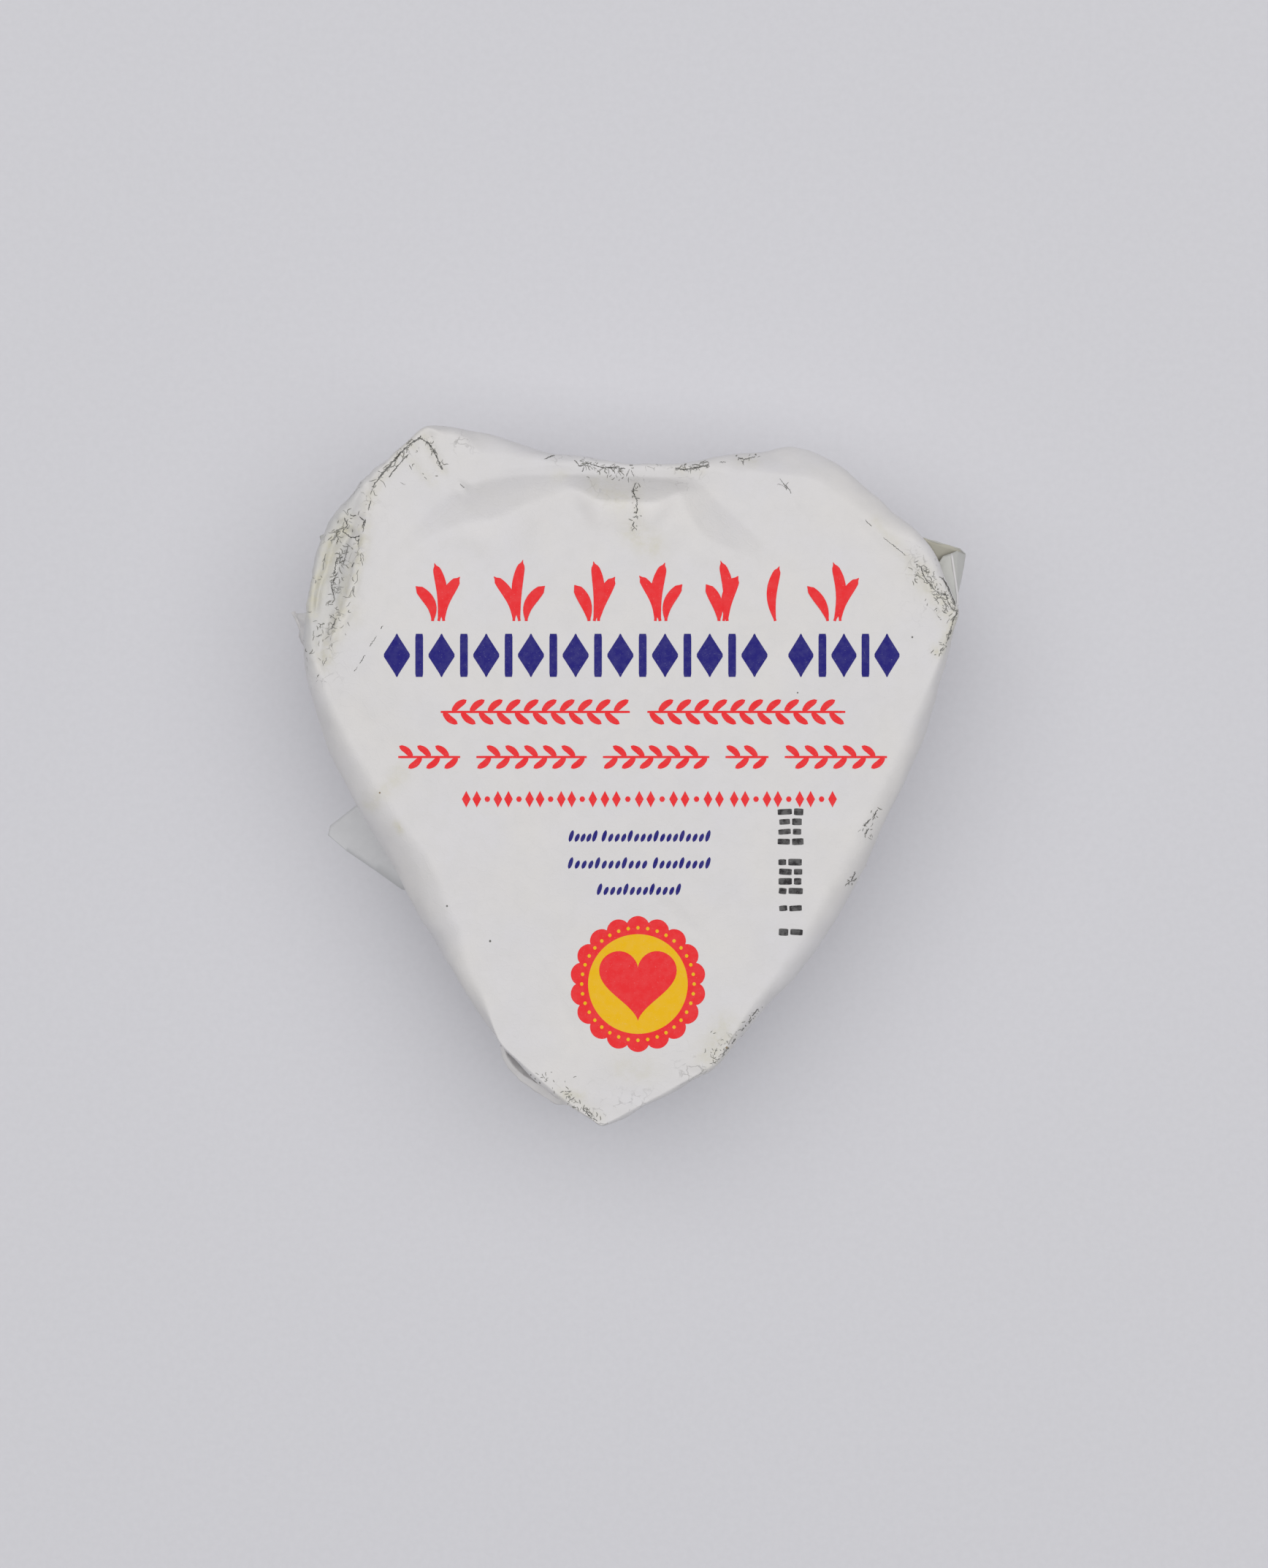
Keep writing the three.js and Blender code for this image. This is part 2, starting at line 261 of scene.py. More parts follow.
# Where the outline's corners have been folded and rubbed, so that the wax is crazed: x, y and size.
WORN_CORNERS = [
    (-31, 51, 7), (-45, 36, 9), (-49, 20, 8), (47, 28, 9), (0, 47, 12), (-5, -52, 9), (12, -43, 7),
]
# The crinkled band on the left lobe fades in from its line's ends, by these shares of its length, and
# across its line and upwards, each from a place in mm over a span. Its painted shade, a grey over the
# outer strip where the wall slopes away, comes on further across.
BAND_ENDS = (1 / 6, 1 / 5)
BAND_ACROSS, BAND_UP, BAND_SHADE = (-0.48, 1.2), (9.0, 6.0), (0.8, 2.2)
# As shares of the way down the wall, from where and over how much the crumples get deeper and the crazing
# fades.
DEEPER, UNCRAZED = (0.22, 0.3), (0.06, 0.14)
# Folds lower than this under the top, in mm, stay crisp where they are sharper than this.
CREASE_DROP = 7.0
CREASE_ANGLE = math.radians(24.0)
# Stains keep to paper higher than this.
STAIN_Z = 12.0
# How deep and how long the soft waves in the top face are.
TOP_WAVE_DEPTH, TOP_WAVE_LENGTH = 0.07, 24.0

# About a whole turn in radians, out of which the starts of random waves are drawn.
TURN = 6.3
# Crumples are folded waves: how many, how often they are bent beforehand, how far for their size, and how
# tightly.
FOLDED_WAVES = 6
BENDS, BEND_DEPTH, BEND_RATE = 3, 0.22, 2.2
# Soft waves: how many, and their rate over their size.
SOFT_WAVES, SOFT_RATE = 7, 3.6

# Print and cracks keep to paper that faces up at least this much. A point that finds none moves this share
# of its way to the hub, so many times at most.
STEEPEST_PRINT = 0.40
PULL, MOST_PULLS = 0.006, 60
# A distance in mm that is well outside the wrap, from which the wall is looked for.
OUTSIDE = 100.0
# A stroke's ends keep this share of its width.
LEAST_WIDTH = 0.04
# The heights, in mm, and how far a face looks up, between which loose paper takes on its painted shade.
PAINTED_SHADE_FADE = (11.0, 19.0)
PAINTED_SHADE_SLOPE = (0.08, 0.28)
# How far, in mm, the cells of the crazing are warped.
WARP_REACH = 2.2

# How the loose sheets are crumpled: how often their edges are cut up, how deep the crumples are and how much
# deeper low down, how big they are, and their seed. Low down is below LOW_TOP, and it comes on over LOW_FADE.
CREASING = {
    "right_ear_lining": (6, 0.05, 0.0, 4.0, 23),
    "right_ear": (6, 0.05, 0.2, 4.0, 21),
    "right_ear_crest": (3, 0.03, 0.0, 1.5, 25),
    "left_ear": (6, 0.16, 0.0, 1.6, 31),
    "left_spur_upper": (5, 0.08, 0.0, 1.2, 35),
    "left_spur_lower": (5, 0.08, 0.0, 1.2, 36),
    "left_frill_upper": (5, 0.08, 0.0, 1.2, 37),
    "left_frill_lower": (5, 0.08, 0.0, 1.2, 38),
    "ground_slip": (7, 0.02, 0.0, 5.0, 41),
    "under_layer": (5, 0.10, 0.0, 3.2, 51),
    "underside_notch_flap": (6, 0.02, 0.0, 3.0, 61),
    "underside_left_flap": (6, 0.02, 0.0, 3.0, 63),
    "underside_right_flap": (6, 0.02, 0.0, 3.0, 65),
    "underside_tip_flap": (6, 0.02, 0.0, 3.0, 67),
}
LOW_TOP, LOW_FADE = 21.0, 5.0
# The lowest that a loose sheet's face may lie before it is given its thickness.
LOWEST_SHEET = 0.02

# Corners of the loose sheets, each as the pixel of the photograph that shows it and its height in mm.
RIGHT_EAR = [
    (1264, 736, 26.8), (1315, 751, 23.8), (1291, 782, 22.3), (1283, 773, 24.6), (1291, 761, 24.6),
    (1303, 757, 25.0), (1309, 799, 25.8), (1310, 829, 26.8), (1286, 786, 25.0), (1298, 813, 26.0),
    (1312, 753, 23.7), (1322, 758, 20.2), (1320, 777, 20.4), (1314, 802, 22.5),
]
# The ear's lower corners lie on the wall in the direction of their pixel: the pixel, the height, and how
# far the corner stands off the wall.
RIGHT_EAR_FOLD = [
    (1262, 722, 16.0, -0.6), (1288, 746, 14.5, -0.6), (1318, 772, 14.0, 2.5), (1318, 806, 14.5, -0.6),
    (1298, 758, 8.0, -0.6), (1319, 778, 7.5, 1.3), (1320, 798, 8.0, -0.6), (1319, 784, 2.5, -0.6),
]
RIGHT_EAR_LINING = [RIGHT_EAR[0], RIGHT_EAR[1], RIGHT_EAR[2], RIGHT_EAR[11]]
RIGHT_EAR_CREST = [
    (1303, 758, 25.1), (1306, 779, 25.5), (1309, 799, 25.9), (1311, 815, 26.4), (1311, 829, 26.9),
]
# How far the crest's edges lie to both sides of it, in pixels.
CREST_HALF_WIDTH = 1.4
# The left ear is a fan round its last corner.
LEFT_EAR = [
    (434, 816, 24.0), (420, 837, 23.0), (403, 842, 20.5), (409, 857, 20.0), (412, 872, 20.5),
    (418, 888, 21.5), (428, 906, 22.5), (438, 916, 24.0), (433, 862, 25.5),
]
# The feet of the left ear and of the slip on the ground, inside the wall, as x, y and z in mm.
LEFT_EAR_FEET = [(-46.8, 27.0, 10.0), (-47.6, 22.5, 8.0), (-47.4, 18.5, 10.0)]
SLIP_FEET = [(-31.0, -4.0, 0.0), (-29.0, -21.0, 0.0)]
SLIP = [
    (492, 1099, 0.0), (452, 1130, 0.0), (449, 1143, 0.0),
    (475, 1165, 0.04), (515, 1192, 0.12), (550, 1217, 0.16),
]
# The slip's thickness as a share of the other sheets'.
SLIP_THINNESS = 0.4
SPURS = {
    "left_spur_upper": [(509, 650, 26.5), (498, 658, 25.0), (503, 667, 26.0), (516, 664, 27.0)],
    "left_spur_lower": [(454, 726, 25.0), (437, 734, 23.0), (441, 748, 23.5), (456, 750, 25.0)],
}
FRILLS = {
    "left_frill_upper": [
        (399, 838, 20.9), (404, 836, 21.3), (411, 848, 20.7),
        (416, 861, 20.6), (411, 864, 20.3), (406, 851, 20.5),
    ],
    "left_frill_lower": [
        (413, 879, 21.0), (418, 877, 21.4), (426, 888, 22.0),
        (432, 896, 22.8), (427, 899, 22.3), (420, 890, 21.5),
    ],
}
# The under layer near the tip, from its inner edge to its rim: a height, and a row of pixels at that height.
UNDER_LAYER = [
    (22.4, [
        (694, 1428), (701, 1441), (711, 1453), (723, 1466),
        (739, 1480), (751, 1488), (766, 1499), (779, 1506),
    ]),
    (24.0, [
        (688, 1431), (694, 1448), (704, 1462), (716, 1472),
        (732, 1481), (747, 1490), (762, 1503), (776, 1509),
    ]),
    (23.6, [
        (685, 1432), (689, 1448), (697, 1463), (710, 1477),
        (726, 1489), (742, 1501), (761, 1511), (777, 1514),
    ]),
]
# The rows below its rim: their height and how far they stand off the wall, and how many pixels to the left
# of the rim they lie for each mm down from LEAN_TOP.
UNDER_LAYER_ROWS = [(20.0, 1.1), (13.0, 0.9), (6.5, 0.6), (3.4, 0.1)]
UNDER_LAYER_LEAN, LEAN_TOP = 1.1, 24.0
# The flaps folded flat underneath: their height, and the x and y of their corners, in mm.
FLAPS = {
    "underside_notch_flap": (
        0.30, [(-37, 31), (-24, 43), (-6, 41), (14, 42), (27, 42), (37, 31), (17, 4), (-4, -4), (-22, 8)],
    ),
    "underside_left_flap": (0.20, [(-42, 22), (-37, 0), (-20, -31), (3, -16), (11, 8), (2, 21), (-20, 32)]),
    "underside_right_flap": (0.11, [(42, 21), (36, 0), (17, -31), (-3, -17), (-8, 3), (5, 17), (25, 29)]),
    "underside_tip_flap": (0.03, [(-15, -37), (-4, -45), (9, -38), (16, -24), (3, -3), (-10, -16)]),
}

# The print, in mm on the top face. Tufts of brush dabs: where they stand in x and how wide they are, with
# their lowest and highest y. A dab has its foot and its head at shares of the tuft's width from its middle,
# and a share of the height. A narrow tuft is a single dab.
TUFTS = [(-28.8, 7.5), (-16.8, 8.4), (-5.7, 6.4), (4.1, 7.2), (13.5, 5.6), (21.2, 2.4), (30.0, 8.4)]
TUFTS_LOW, TUFTS_HIGH = 22.9, 32.0
TUFT_DABS = [(-0.10, -0.44, 0.74), (0.0, 0.06, 1.0), (0.12, 0.46, 0.60)]
SINGLE_DAB = [(0.0, 0.2, 0.95)]
NARROW_TUFT = 4.0
# The border: groups from x to x and how many lozenges each has, with a bar between them, and its lowest and
# highest y. Shares of the way from one lozenge to the next are its width, the first one's place, and how much
# shorter a group is than such a way for each lozenge.
BORDER = [(-37.4, 20.5, 9), (22.7, 40.1, 3)]
BORDER_LOW, BORDER_HIGH = 14.6, 21.0
LOZENGE_WIDTH, LOZENGE_START, LOZENGE_GAP = 0.62, 0.36, 0.28
BAR_WIDTH = 1.15
# Twigs that run from x to x: their y, the length and width of their leaves, and the twigs.
TWIGS = {
    "print_red_sprigs_1": (9.4, 2.7, 1.0, [(-28.5, -0.4), (2.2, 31.6)]),
    "print_red_sprigs_2": (
        2.7, 2.5, 0.95, [(-25.6, -34.8), (-6.8, -23.2), (11.4, -4.4), (20.2, 13.8), (37.8, 22.6)],
    ),
}
# A twig's width, the way from leaf to leaf, and where the first one starts. A leaf's middle and tip lie at
# shares of its length along the twig and to its side.
TWIG_WIDTH, LEAF_PITCH, LEAF_START = 0.34, 1.35, 0.35
LEAF_MIDDLE, LEAF_TIP = (0.36, 0.40), (0.80, 0.66)
# The chain of lozenges and beads: groups from x to x, its y, its pitch, a bead's size, and a lozenge's
# width and lowest and highest y.
CHAIN = [(-24.7, -5.9), (-4.1, 12.9), (15.1, 29.7)]
CHAIN_Y, CHAIN_PITCH, CHAIN_BEAD = -3.55, 1.62, 0.84
LINK_WIDTH, LINK_LOW, LINK_HIGH = 1.30, -4.75, -2.35
# Rows of slanting seeds: from x to x and the y of their feet, then their pitch, half their slant, their width
# and their height, which is more for every fourth one.
SEEDS = [(-9.1, -5.6, -9.9), (-4.2, 11.2, -9.9), (-9.2, 1.8, -13.9), (3.4, 11.2, -13.9), (-4.9, 6.8, -17.8)]
SEED_PITCH, HALF_SLANT, SEED_WIDTH, SEED_HEIGHT, TALL_SEED_HEIGHT = 0.98, 0.28, 0.60, 1.25, 1.75
# The stamp: groups of dashes from y to y and how many rows each has, and the x of its sides and half the
# dashes' gap.
STAMP = [(-4.7, -10.6, 4), (-12.2, -17.9, 4), (-19.0, -20.5, 1), (-22.5, -24.1, 1)]
STAMP_LEFT, STAMP_RIGHT, HALF_GAP = 21.6, 25.3, 0.16
# The badge: its middle, the radii of its scalloped edge, of its field and of its ring of beads, how many
# scallops and beads it has, how deep a scallop and how big a bead is, and its heart's scale and how far up
# it sits.
BADGE = np.array([0.8, -31.0])
BADGE_RADIUS, EDGE_INNER, FIELD_RADIUS, BEADS_RADIUS = 10.1, 7.4, 7.5, 8.35
SCALLOPS, SCALLOP_DEPTH, BEADS, BEAD_SIZE = 18, 0.9, 36, 0.54
HEART_SCALE, HEART_RISE = 0.36, 0.6

# How far cracks, rubbed places and spots are lifted off the paper, in mm.
CRACK_LIFT, SCUFF_LIFT, SPOT_LIFT = 0.035, 0.03, 0.02
# A crack's step along its line and how far it strays, in mm, and how many steps a stretch of it takes, from a
# number to below another. A fine crack's step, how many bends it has in the same way, and how sharp they are.
CRACK_STEP, CRACK_STRAY, CRACK_RUN = 0.13, 0.04, (5, 16)
SCUFF_STEP, SCUFF_BENDS, SCUFF_ANGLE = 0.1, (2, 6), 32.0
# The seeds of what is drawn at random, and the colours of the spots.
TUFTS_SEED, STAMP_SEED, CRACKS_SEED = 71, 91, 101
BROWN, DARK = (0.33, 0.24, 0.13), (0.10, 0.10, 0.09)

# Cracks in the wax, as pixels of the photograph: how much of the line is broken open, its width in mm, the
# line.
CRACKS = [
    (0.95, 0.34, [(577, 597), (556, 612), (543, 626), (533, 638), (523, 649), (510, 667)]),
    (0.60, 0.20, [(569, 611), (556, 625), (546, 636), (536, 648), (533, 654)]),
    (0.95, 0.30, [(584, 604), (590, 611), (596, 621), (606, 643)]),
    (0.55, 0.22, [(574, 600), (582, 603), (588, 614)]),
    (0.50, 0.16, [(560, 636), (564, 643)]),
    (0.50, 0.18, [(581, 646), (584, 658)]),
    (0.85, 0.22, [(479, 704), (484, 706), (490, 705), (499, 713), (496, 722)]),
    (0.70, 0.18, [(490, 705), (493, 697)]),
    (0.80, 0.22, [(472, 708), (475, 719), (469, 727), (478, 734), (486, 736), (492, 733), (490, 746)]),
    (0.70, 0.20, [(486, 736), (489, 741)]),
    (0.60, 0.24, [(461, 732), (463, 738), (461, 745)]),
    (0.70, 0.24, [(469, 748), (473, 760), (466, 764), (463, 782), (458, 792), (455, 803), (458, 822)]),
    (0.55, 0.26, [(464, 752), (460, 770), (457, 786), (453, 800), (456, 812)]),
    (0.45, 0.20, [(476, 752), (471, 770), (467, 790)]),
    (0.35, 0.18, [(508, 685), (500, 713), (490, 756), (482, 777)]),
    (0.35, 0.20, [(474, 828), (462, 843), (454, 861), (451, 886)]),
    (0.40, 0.20, [(450, 836), (446, 841), (440, 846)]),
    (0.40, 0.20, [(433, 872), (444, 866), (452, 874)]),
    (0.30, 0.16, [(435, 927), (441, 914), (448, 900)]),
    (0.35, 0.12, [(529, 845), (523, 858), (510, 879), (503, 890), (495, 905), (480, 926)]),
    (0.85, 0.24, [(745, 629), (756, 624)]),
    (0.85, 0.22, [(786, 630), (794, 638), (805, 634), (824, 640), (828, 639), (846, 640)]),
    (0.70, 0.26, [(824, 640), (846, 641), (862, 642), (880, 642)]),
    (0.80, 0.18, [(862, 642), (857, 652)]),
    (0.80, 0.16, [(864, 643), (868, 653)]),
    (0.60, 0.16, [(800, 638), (797, 646)]),
    (0.85, 0.26, [(924, 641), (937, 643), (954, 640), (971, 636)]),
    (0.60, 0.20, [(985, 633), (994, 632)]),
    (0.55, 0.20, [(1010, 626), (1019, 629), (1034, 625)]),
    (0.75, 0.20, [(871, 660), (866, 671), (872, 685), (872, 700), (869, 713), (866, 719), (872, 726)]),
    (0.50, 0.16, [(868, 690), (874, 698)]),
    (0.80, 0.16, [(1072, 661), (1081, 670), (1085, 680)]),
    (0.35, 0.12, [(1085, 680), (1088, 688), (1092, 697)]),
    (1.00, 0.13, [(1067, 655), (1073, 662), (1076, 668)]),
    (1.00, 0.11, [(1080, 660), (1076, 664), (1077, 671)]),
    (1.00, 0.11, [(1064, 663), (1071, 664), (1077, 669)]),
    (0.60, 0.18, [(630, 662), (636, 668), (631, 671)]),
    (0.60, 0.20, [
        (1249, 768), (1254, 771), (1261, 776), (1264, 787),
        (1270, 797), (1278, 806), (1284, 811), (1299, 815),
    ]),
    (0.60, 0.18, [(1260, 783), (1268, 793), (1276, 803)]),
    (0.70, 0.20, [(1284, 787), (1291, 793), (1299, 805), (1303, 815), (1308, 828), (1311, 835)]),
    (0.60, 0.20, [(1295, 815), (1299, 826), (1303, 832)]),
    (0.60, 0.22, [(1295, 818), (1299, 827)]),
    (0.50, 0.24, [(1296, 832), (1293, 838)]),
    (0.40, 0.24, [(1281, 819), (1285, 827)]),
    (0.90, 0.28, [(1311, 836), (1306, 846), (1303, 856)]),
    (0.75, 0.28, [(1303, 856), (1299, 868), (1297, 877), (1294, 883), (1287, 891), (1280, 896)]),
    (0.30, 0.11, [(1178, 706), (1195, 722), (1212, 738), (1240, 760)]),
    (0.50, 0.30, [(1206, 1098), (1200, 1110), (1192, 1128), (1184, 1143)]),
    (0.35, 0.24, [(1190, 1122), (1182, 1132)]),
    (0.45, 0.26, [(1171, 1193), (1165, 1206)]),
    (0.50, 0.20, [(1042, 1376), (1030, 1390), (1020, 1404)]),
    (0.70, 0.24, [(1008, 1424), (1000, 1431), (990, 1442), (978, 1454)]),
    (0.45, 0.18, [(995, 1424), (988, 1436)]),
    (0.40, 0.18, [(982, 1432), (978, 1444)]),
    (0.40, 0.18, [(731, 1468), (738, 1477)]),
    (0.45, 0.18, [(764, 1486), (768, 1492), (781, 1495)]),
    (0.85, 0.28, [(778, 1507), (787, 1502), (791, 1508)]),
    (0.60, 0.26, [(797, 1517), (806, 1526), (819, 1535)]),
    (0.45, 0.20, [(794, 1512), (803, 1520), (811, 1526)]),
]
# Rubbed places, full of fine short cracks: how many, how far they stray in mm, their length in mm, the
# angle they make with the line, how far they turn from it, and the line as pixels of the photograph.
SCUFFS = [
    (52, 0.40, 0.60, 70, 22, [(477, 744), (469, 760), (463, 782), (457, 805), (455, 828)]),
    (16, 0.70, 0.60, 10, 30, [(487, 700), (470, 722), (458, 742)]),
    (14, 0.35, 0.90, 4, 16, [(474, 712), (450, 742), (440, 774), (430, 800)]),
    (13, 0.35, 0.80, 5, 18, [(497, 752), (492, 776), (486, 796), (477, 826)]),
    (42, 0.30, 0.70, 4, 14, [(579, 596), (556, 612), (533, 638), (509, 668)]),
    (14, 0.35, 0.60, 0, 16, [(583, 602), (592, 613), (605, 640)]),
    (7, 1.10, 0.40, 40, 60, [(562, 632), (578, 640), (586, 656)]),
    (34, 0.22, 0.60, 0, 18, [(786, 631), (805, 636), (828, 640), (848, 642)]),
    (16, 0.80, 0.40, 60, 40, [(800, 641), (830, 644), (866, 648)]),
    (28, 0.22, 0.60, 0, 20, [(924, 641), (945, 641), (968, 637)]),
    (9, 0.35, 0.40, 10, 45, [(1008, 625), (1022, 628), (1036, 623)]),
    (4, 0.40, 0.35, 40, 60, [(745, 628), (757, 625)]),
    (34, 0.20, 0.35, 60, 60, [(871, 660), (867, 671), (872, 700), (867, 722)]),
    (76, 0.75, 0.60, 0, 22, [(1252, 768), (1270, 791), (1288, 812), (1306, 832)]),
    (26, 1.10, 0.45, 10, 40, [(1274, 810), (1288, 826), (1299, 838)]),
    (26, 0.30, 0.50, 5, 30, [(1309, 838), (1302, 858), (1294, 884), (1281, 896)]),
    (18, 0.50, 0.50, 0, 25, [(1207, 1098), (1194, 1124), (1183, 1145)]),
    (10, 0.40, 0.45, 0, 25, [(1172, 1192), (1164, 1207)]),
    (38, 0.24, 0.35, 10, 50, [(1042, 1376), (1020, 1404), (1000, 1431), (976, 1456)]),
    (18, 0.90, 0.45, 30, 50, [(1002, 1420), (984, 1436), (970, 1452)]),
    (30, 0.30, 0.45, 10, 45, [(776, 1503), (795, 1513), (822, 1536)]),
    (24, 0.90, 0.40, 20, 50, [(728, 1464), (752, 1482), (782, 1496)]),
    (22, 1.30, 0.55, 20, 60, [(452, 838), (440, 868), (436, 905)]),
    (14, 0.90, 0.50, 20, 30, [(476, 828), (462, 846), (452, 884)]),
]
# Where the paper is stained a faint cream: how strongly, how far from the line in mm, and its line as
# pixels of the photograph.
STAINS = [
    (1.00, 1.3, [(474, 712), (450, 742), (440, 772), (430, 798), (421, 834)]),
    (0.75, 1.4, [(494, 722), (488, 760), (478, 790), (473, 815), (466, 835), (452, 870), (440, 905)]),
    (0.50, 1.1, [(577, 597), (556, 612), (533, 638), (510, 667), (500, 700)]),
    (0.40, 0.7, [(584, 604), (606, 643)]),
    (0.45, 2.2, [(474, 838), (455, 860), (440, 885)]),
    (0.45, 1.4, [(548, 1056), (527, 1080), (505, 1100)]),
    (1.00, 0.6, [(541, 1130), (546, 1136)]),
    (0.35, 2.2, [(852, 1462), (882, 1466)]),
    (0.60, 2.0, [(868, 728), (893, 745)]),
    (0.45, 1.8, [(818, 662), (850, 680)]),
    (0.35, 1.0, [(870, 664), (872, 700), (868, 722)]),
    (0.35, 1.0, [(762, 650), (770, 648)]),
    (0.70, 1.8, [(1256, 778), (1280, 806), (1300, 836)]),
    (0.80, 0.9, [(1306, 850), (1298, 876), (1284, 892)]),
    (0.35, 0.9, [(1200, 712), (1222, 738), (1246, 764)]),
    (0.60, 2.2, [(992, 1408), (972, 1446)]),
    (0.70, 1.0, [(772, 1500), (792, 1502)]),
    (0.40, 0.8, [(800, 1516), (820, 1532)]),
    (0.40, 1.0, [(1014, 626), (1034, 628)]),
    (0.35, 0.8, [(930, 643), (960, 643)]),
    (0.30, 0.9, [(560, 628), (590, 660)]),
]
# Small spots on the paper, as pixels of the photograph, with their diameter in mm.
BROWN_SPOTS = [(520, 1085, 0.30), (995, 1434, 0.42)]
DARK_SPOTS = [(671, 1288, 0.35), (1249, 872, 0.30), (612, 1240, 0.30), (1092, 948, 0.25)]


def smooth(value, start=0.0, span=1.0):
    """Eases from 0 to 1 as a value goes from start over a span, and holds there outside."""
    share = np.clip((value - start) / span, 0.0, 1.0)
    return share * share * (3.0 - 2.0 * share)


def way_along(points):
    """How far along a line each of its points is."""
    return np.append(0.0, np.cumsum(np.linalg.norm(np.diff(points, axis=0), axis=1)))


def points_at(places, walked, points):
    """Points at places along a line, given how far along it its own points are."""
    return np.stack([np.interp(places, walked, values) for values in points.T], axis=-1)


def rounded_outline(shares):
    """x and y at shares of the way round the outline, and the rim's inset and drop there."""
    knots, rounding = OUTLINE[:, :2], OUTLINE[:, 2]

    def cut(end):
        run = end - knots
        length = np.linalg.norm(run, axis=1)
        return knots + run * (np.minimum(rounding, MOST_ROUNDING * length) / length)[:, None]

    start = cut(np.roll(knots, 1, axis=0))[:, None]
    finish = cut(np.roll(knots, -1, axis=0))[:, None]
    turn = np.linspace(0.0, 1.0, CORNER_STEPS)[:, None]
    curves = (1 - turn) ** 2 * start + 2 * turn * (1 - turn) * knots[:, None] + turn**2 * finish
    points = np.vstack([*curves, curves[0, :1]])
    walked = way_along(points)
    walked /= walked[-1]
    middles = walked[CORNER_STEPS // 2 :: CORNER_STEPS]
    later = np.where(shares < middles[0], shares + 1.0, shares)
    row = np.interp(later, np.append(middles, 1.0 + middles[0]), np.arange(len(knots) + 1.0))
    index = np.floor(row).astype(int)
    here, there = OUTLINE[index % len(knots), 3:], OUTLINE[(index + 1) % len(knots), 3:]
    rim = here + (there - here) * smooth(row - index)[..., None]
    return points_at(shares, walked, points), rim[..., 0], rim[..., 1]


def curved(line):
    """A smooth curve through a line's points, as a line with many more points."""
    points = np.array(line, float)
    around = np.vstack([2 * points[0] - points[1], points, 2 * points[-1] - points[-2]])
    shares = np.linspace(0.0, 1.0, CURVE_STEPS, endpoint=False)[:, None]
    made = [
        (2 * shares**3 - 3 * shares**2 + 1) * start
        + (shares**3 - 2 * shares**2 + shares) * 0.5 * (end - before)
        + (3 * shares**2 - 2 * shares**3) * end
        + (shares**3 - shares**2) * 0.5 * (after - start)
        for before, start, end, after in zip(around, around[1:], around[2:], around[3:])
    ]
    return np.vstack([*made, points[-1:]])


def line_place(places, line):
    """How far places are from a line in plan, positive on its right, and how far along it they are.

    Away from the line, stretches that are nearly as close share in the answer, so that it has no jumps.
    """
    line = np.array(line, float)
    walked = way_along(line)
    walked /= walked[-1]
    gaps, sides, shares = [], [], []
    for start, end, share, next_share in zip(line, line[1:], walked, walked[1:]):
        run = end - start
        off = places[..., :2] - start
        along = np.clip(off @ run / (run @ run), 0.0, 1.0)
        off = off - along[..., None] * run
        gaps.append(np.hypot(off[..., 0], off[..., 1]))
        sides.append(np.where(run[1] * off[..., 0] - run[0] * off[..., 1] >= 0.0, 1.0, -1.0))
        shares.append(share + along * (next_share - share))
    gaps = np.array(gaps)
    closest = gaps.argmin(axis=0)[None]
    nearest = np.take_along_axis(gaps, closest, axis=0)
    pull = np.exp((nearest - gaps) / (SHARING * nearest + LEAST_SHARING))
    pull /= pull.sum(axis=0)
    side = np.take_along_axis(np.array(sides), closest, axis=0)[0]
    return side * (pull * gaps).sum(axis=0), (pull * np.array(shares)).sum(axis=0)


def random_way(draw):
    """A unit vector that points anywhere."""
    way = draw.normal(size=3)
    return way / np.linalg.norm(way)


def crumple(points, size, seed):
    """Flat facets between sharp creases, about -1 to 1: folded waves that cross each other in space."""
    draw = np.random.default_rng(seed)
    bent = points.copy()
    for _ in range(BENDS):
        wave = np.sin(points @ random_way(draw) * (BEND_RATE / size) + draw.uniform(0, TURN))
        bent += BEND_DEPTH * size * wave[..., None] * draw.normal(size=3)
    total = np.zeros(points.shape[:-1])
    for _ in range(FOLDED_WAVES):
        phase = bent @ random_way(draw) / (size * draw.uniform(0.8, 1.9)) + draw.uniform()
        total += 4.0 * np.abs(phase - np.floor(phase) - 0.5) - 1.0
    return total / FOLDED_WAVES**0.5


def wander(points, size, seed):
    """Soft waves, about -1 to 1, at points in space."""
    draw = np.random.default_rng(seed)
    total = np.zeros(points.shape[:-1])
    for _ in range(SOFT_WAVES):
        total += np.sin(points @ draw.normal(size=3) * (SOFT_RATE / size) + draw.uniform(0, TURN))
    return total / SOFT_WAVES**0.5


def top_height(place, reach_share):
    """The height of the top face, before its crumples, at places a share of the way out to the outline."""
    height = TOP_Z - DOME * reach_share**2
    for middle_x, middle_y, length, width, turn, depth in DENTS:
        angle = math.radians(turn)
        x, y = place[..., 0] - middle_x, place[..., 1] - middle_y
        along = x * math.cos(angle) + y * math.sin(angle)
        across = y * math.cos(angle) - x * math.sin(angle)
        height -= depth * np.exp(-((along / length) ** 2) - (across / width) ** 2)
    for depth, run, fade, taper, line in TROUGHS:
        away, share = line_place(place, curved(line))
        ends = smooth(share / taper) * smooth((1.0 - share) / taper)
        down = away / (run * (TROUGH_END_RUN + (1.0 - TROUGH_END_RUN) * ends))
        fading = np.exp(-((np.maximum(0.0, down - 1.0) * run / fade) ** 2))
        height -= depth * ends * np.clip(down, 0.0, 1.0) * fading
    for rise, half_width, line in RIDGES:
        away, _ = line_place(place, line)
        height += rise * np.maximum(0.0, 1.0 - np.abs(away) / half_width) ** RIDGE_POWER
    return height


